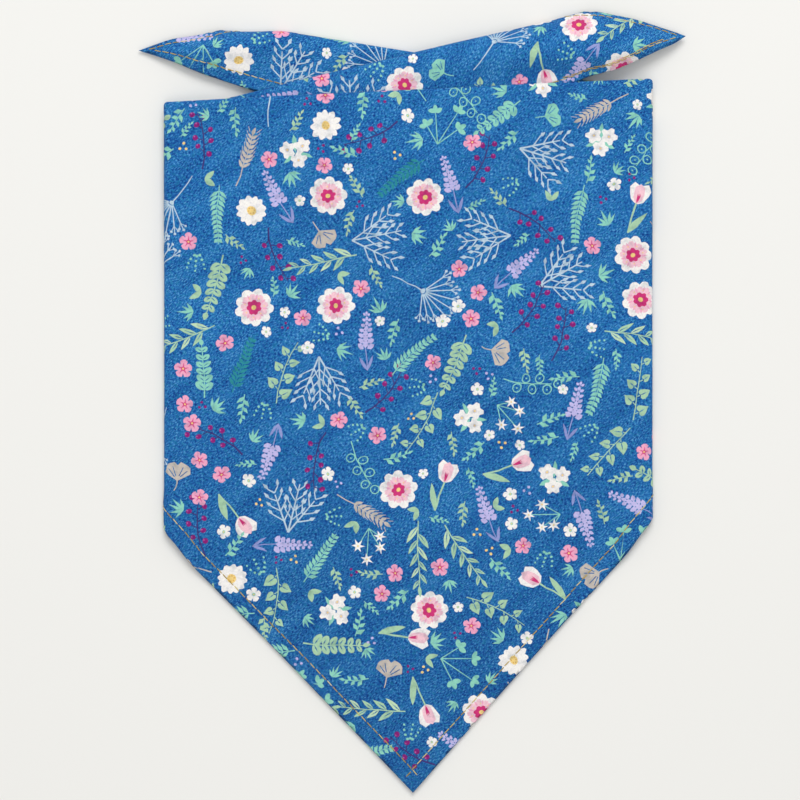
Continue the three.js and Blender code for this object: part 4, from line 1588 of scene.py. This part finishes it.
def wrong_side_material():
    """The wrong side: paler, with the print showing faintly through."""
    nodes = Nodes("cotton_wrong_side", "flat")
    fleck = nodes.noise(FLECK_LEAN, (2.1, 0.62), 2.0, 0.62)
    tone = nodes.shifted(fleck, nodes.noise(FLECK_LEAN, (34.0, 7.0)), 0.35)
    dark, mid, light = (0.34, (112, 146, 188)), (0.5, (140, 172, 206)), (0.68, (176, 199, 222))
    ground = nodes.ramp(tone, dark, mid, light)
    pale = nodes.mix(0.62, nodes.read("ink_colour", 0), (*linear((200, 214, 228)), 1))
    amount = nodes.math("MULTIPLY", nodes.read("ink_amount", 2), 0.8)
    return nodes.cloth_surface(nodes.mix(amount, ground, pale), 0.9, 0.6, 0.2, 0.12)


def thread_material():
    """Golden brown thread, each stitch in its own tone, with its plies as slanting bump."""
    nodes = Nodes("topstitch_thread", "thread")
    run, turn, number = nodes.parts(nodes.place)
    ply = nodes.math("MULTIPLY_ADD", run, 2.6, turn)
    wave = nodes.math("SINE", nodes.math("MULTIPLY", ply, 2 * TAU))
    each = nodes.add("ShaderNodeTexWhiteNoise", settings={"noise_dimensions": "1D"}, i1=number)
    olive, gold = (0.0, (158, 130, 52)), (0.4, (190, 162, 80))
    straw, cream = (0.8, (218, 198, 124)), (1.0, (234, 222, 174))
    tone = nodes.ramp(each, olive, gold, straw, cream)
    # Painted shade, darker towards the ends where the thread goes into the cloth
    from_middle = nodes.math("SUBTRACT", run, (STITCH_PITCH - STITCH_GAP) / 2)
    painted_shade_at_ends = nodes.over_range(nodes.math("ABSOLUTE", from_middle), 1.5, 1.78, 0.0, 0.5)
    colour = nodes.mix(painted_shade_at_ends, tone, (*linear((62, 48, 44)), 1))
    bump = nodes.add("ShaderNodeBump", i0=0.5, i1=PLY_BUMP, i3=wave)
    nodes.surface(Base_Color=colour, Roughness=0.55, Normal=bump)
    nodes.surface(Specular_IOR_Level=0.35, Sheen_Weight=0.2, Sheen_Roughness=0.4)
    return nodes.material


# The scene
TABLE_SEEN = 360.0  # across the picture, seen from straight above
CAMERA_AT = (-5.36, 0.95, 1500.0)
SENSOR = 36.0
TABLE_HALF, TABLE_BELOW = 3.0, 0.0001  # metres
TABLE_COLOUR = (235, 235, 232)
SKY_COLOUR, SKY_STRENGTH = (1.0, 0.985, 0.965, 1), 0.53
# Each light's place and width in metres, and its power in watts
LIGHTS = (("window", (0.1, 1.7, 2.0), 1.5, 34.0), ("ceiling", (0.0, -0.3, 2.4), 2.4, 13.6))


def make_camera():
    data = bpy.data.cameras.new("camera")
    data.sensor_width = SENSOR
    data.lens = SENSOR * CAMERA_AT[2] / TABLE_SEEN
    camera = placed("camera", data)
    camera.location = Vector(CAMERA_AT) * MM
    bpy.context.scene.camera = camera


def make_floor():
    corners = [(x * TABLE_HALF, y * TABLE_HALF) for x, y in ((-1, -1), (1, -1), (1, 1), (-1, 1))]
    mesh = bpy.data.meshes.new("table_top")
    mesh.from_pydata([(x, y, -TABLE_BELOW) for x, y in corners], [], [(0, 1, 2, 3)])
    floor = placed("table_top", mesh)
    nodes = Nodes("table_top")
    nodes.surface(Base_Color=(*linear(TABLE_COLOUR), 1), Roughness=0.7)
    mesh.materials.append(nodes.material)
    return floor


def area_light(name, at, size, power):
    """A round light, aimed at the origin."""
    data = bpy.data.lights.new(name, "AREA")
    data.shape = "DISK"
    data.size = size
    data.energy = power
    light = placed(name, data)
    light.location = at
    light.rotation_euler = (-Vector(at)).to_track_quat("-Z", "Y").to_euler()


def make_light():
    for row in LIGHTS:
        area_light(*row)
    world = bpy.data.worlds.new("room")
    world.use_nodes = True
    background = world.node_tree.nodes["Background"]
    background.inputs["Color"].default_value = SKY_COLOUR
    background.inputs["Strength"].default_value = SKY_STRENGTH
    bpy.context.scene.world = world
    bpy.context.scene.view_settings.view_transform = "Standard"


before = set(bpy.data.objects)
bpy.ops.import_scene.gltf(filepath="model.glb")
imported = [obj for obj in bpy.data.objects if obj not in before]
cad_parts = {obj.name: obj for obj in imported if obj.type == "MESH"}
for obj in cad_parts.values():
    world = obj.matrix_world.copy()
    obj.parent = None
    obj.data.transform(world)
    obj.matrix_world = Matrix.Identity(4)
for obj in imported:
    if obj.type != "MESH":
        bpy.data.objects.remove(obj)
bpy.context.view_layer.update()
make_camera()
floor = make_floor()
make_light()

cloth = Cloth()
drawn = scatter(cloth.outline)
left_out = hidden(cloth, drawn) | near_tip(cloth, drawn)
bandana = cloth_piece(cloth, [row for row, out in zip(drawn, left_out) if not out])
bandana.data.materials.append(print_material())
bandana.data.materials.append(wrong_side_material())
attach(bandana, "root")
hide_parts("bandana_cloth")
stitches = stitch_piece(cloth)
stitches.data.materials.append(thread_material())
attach(stitches, "root")
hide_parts("bandana_cloth")
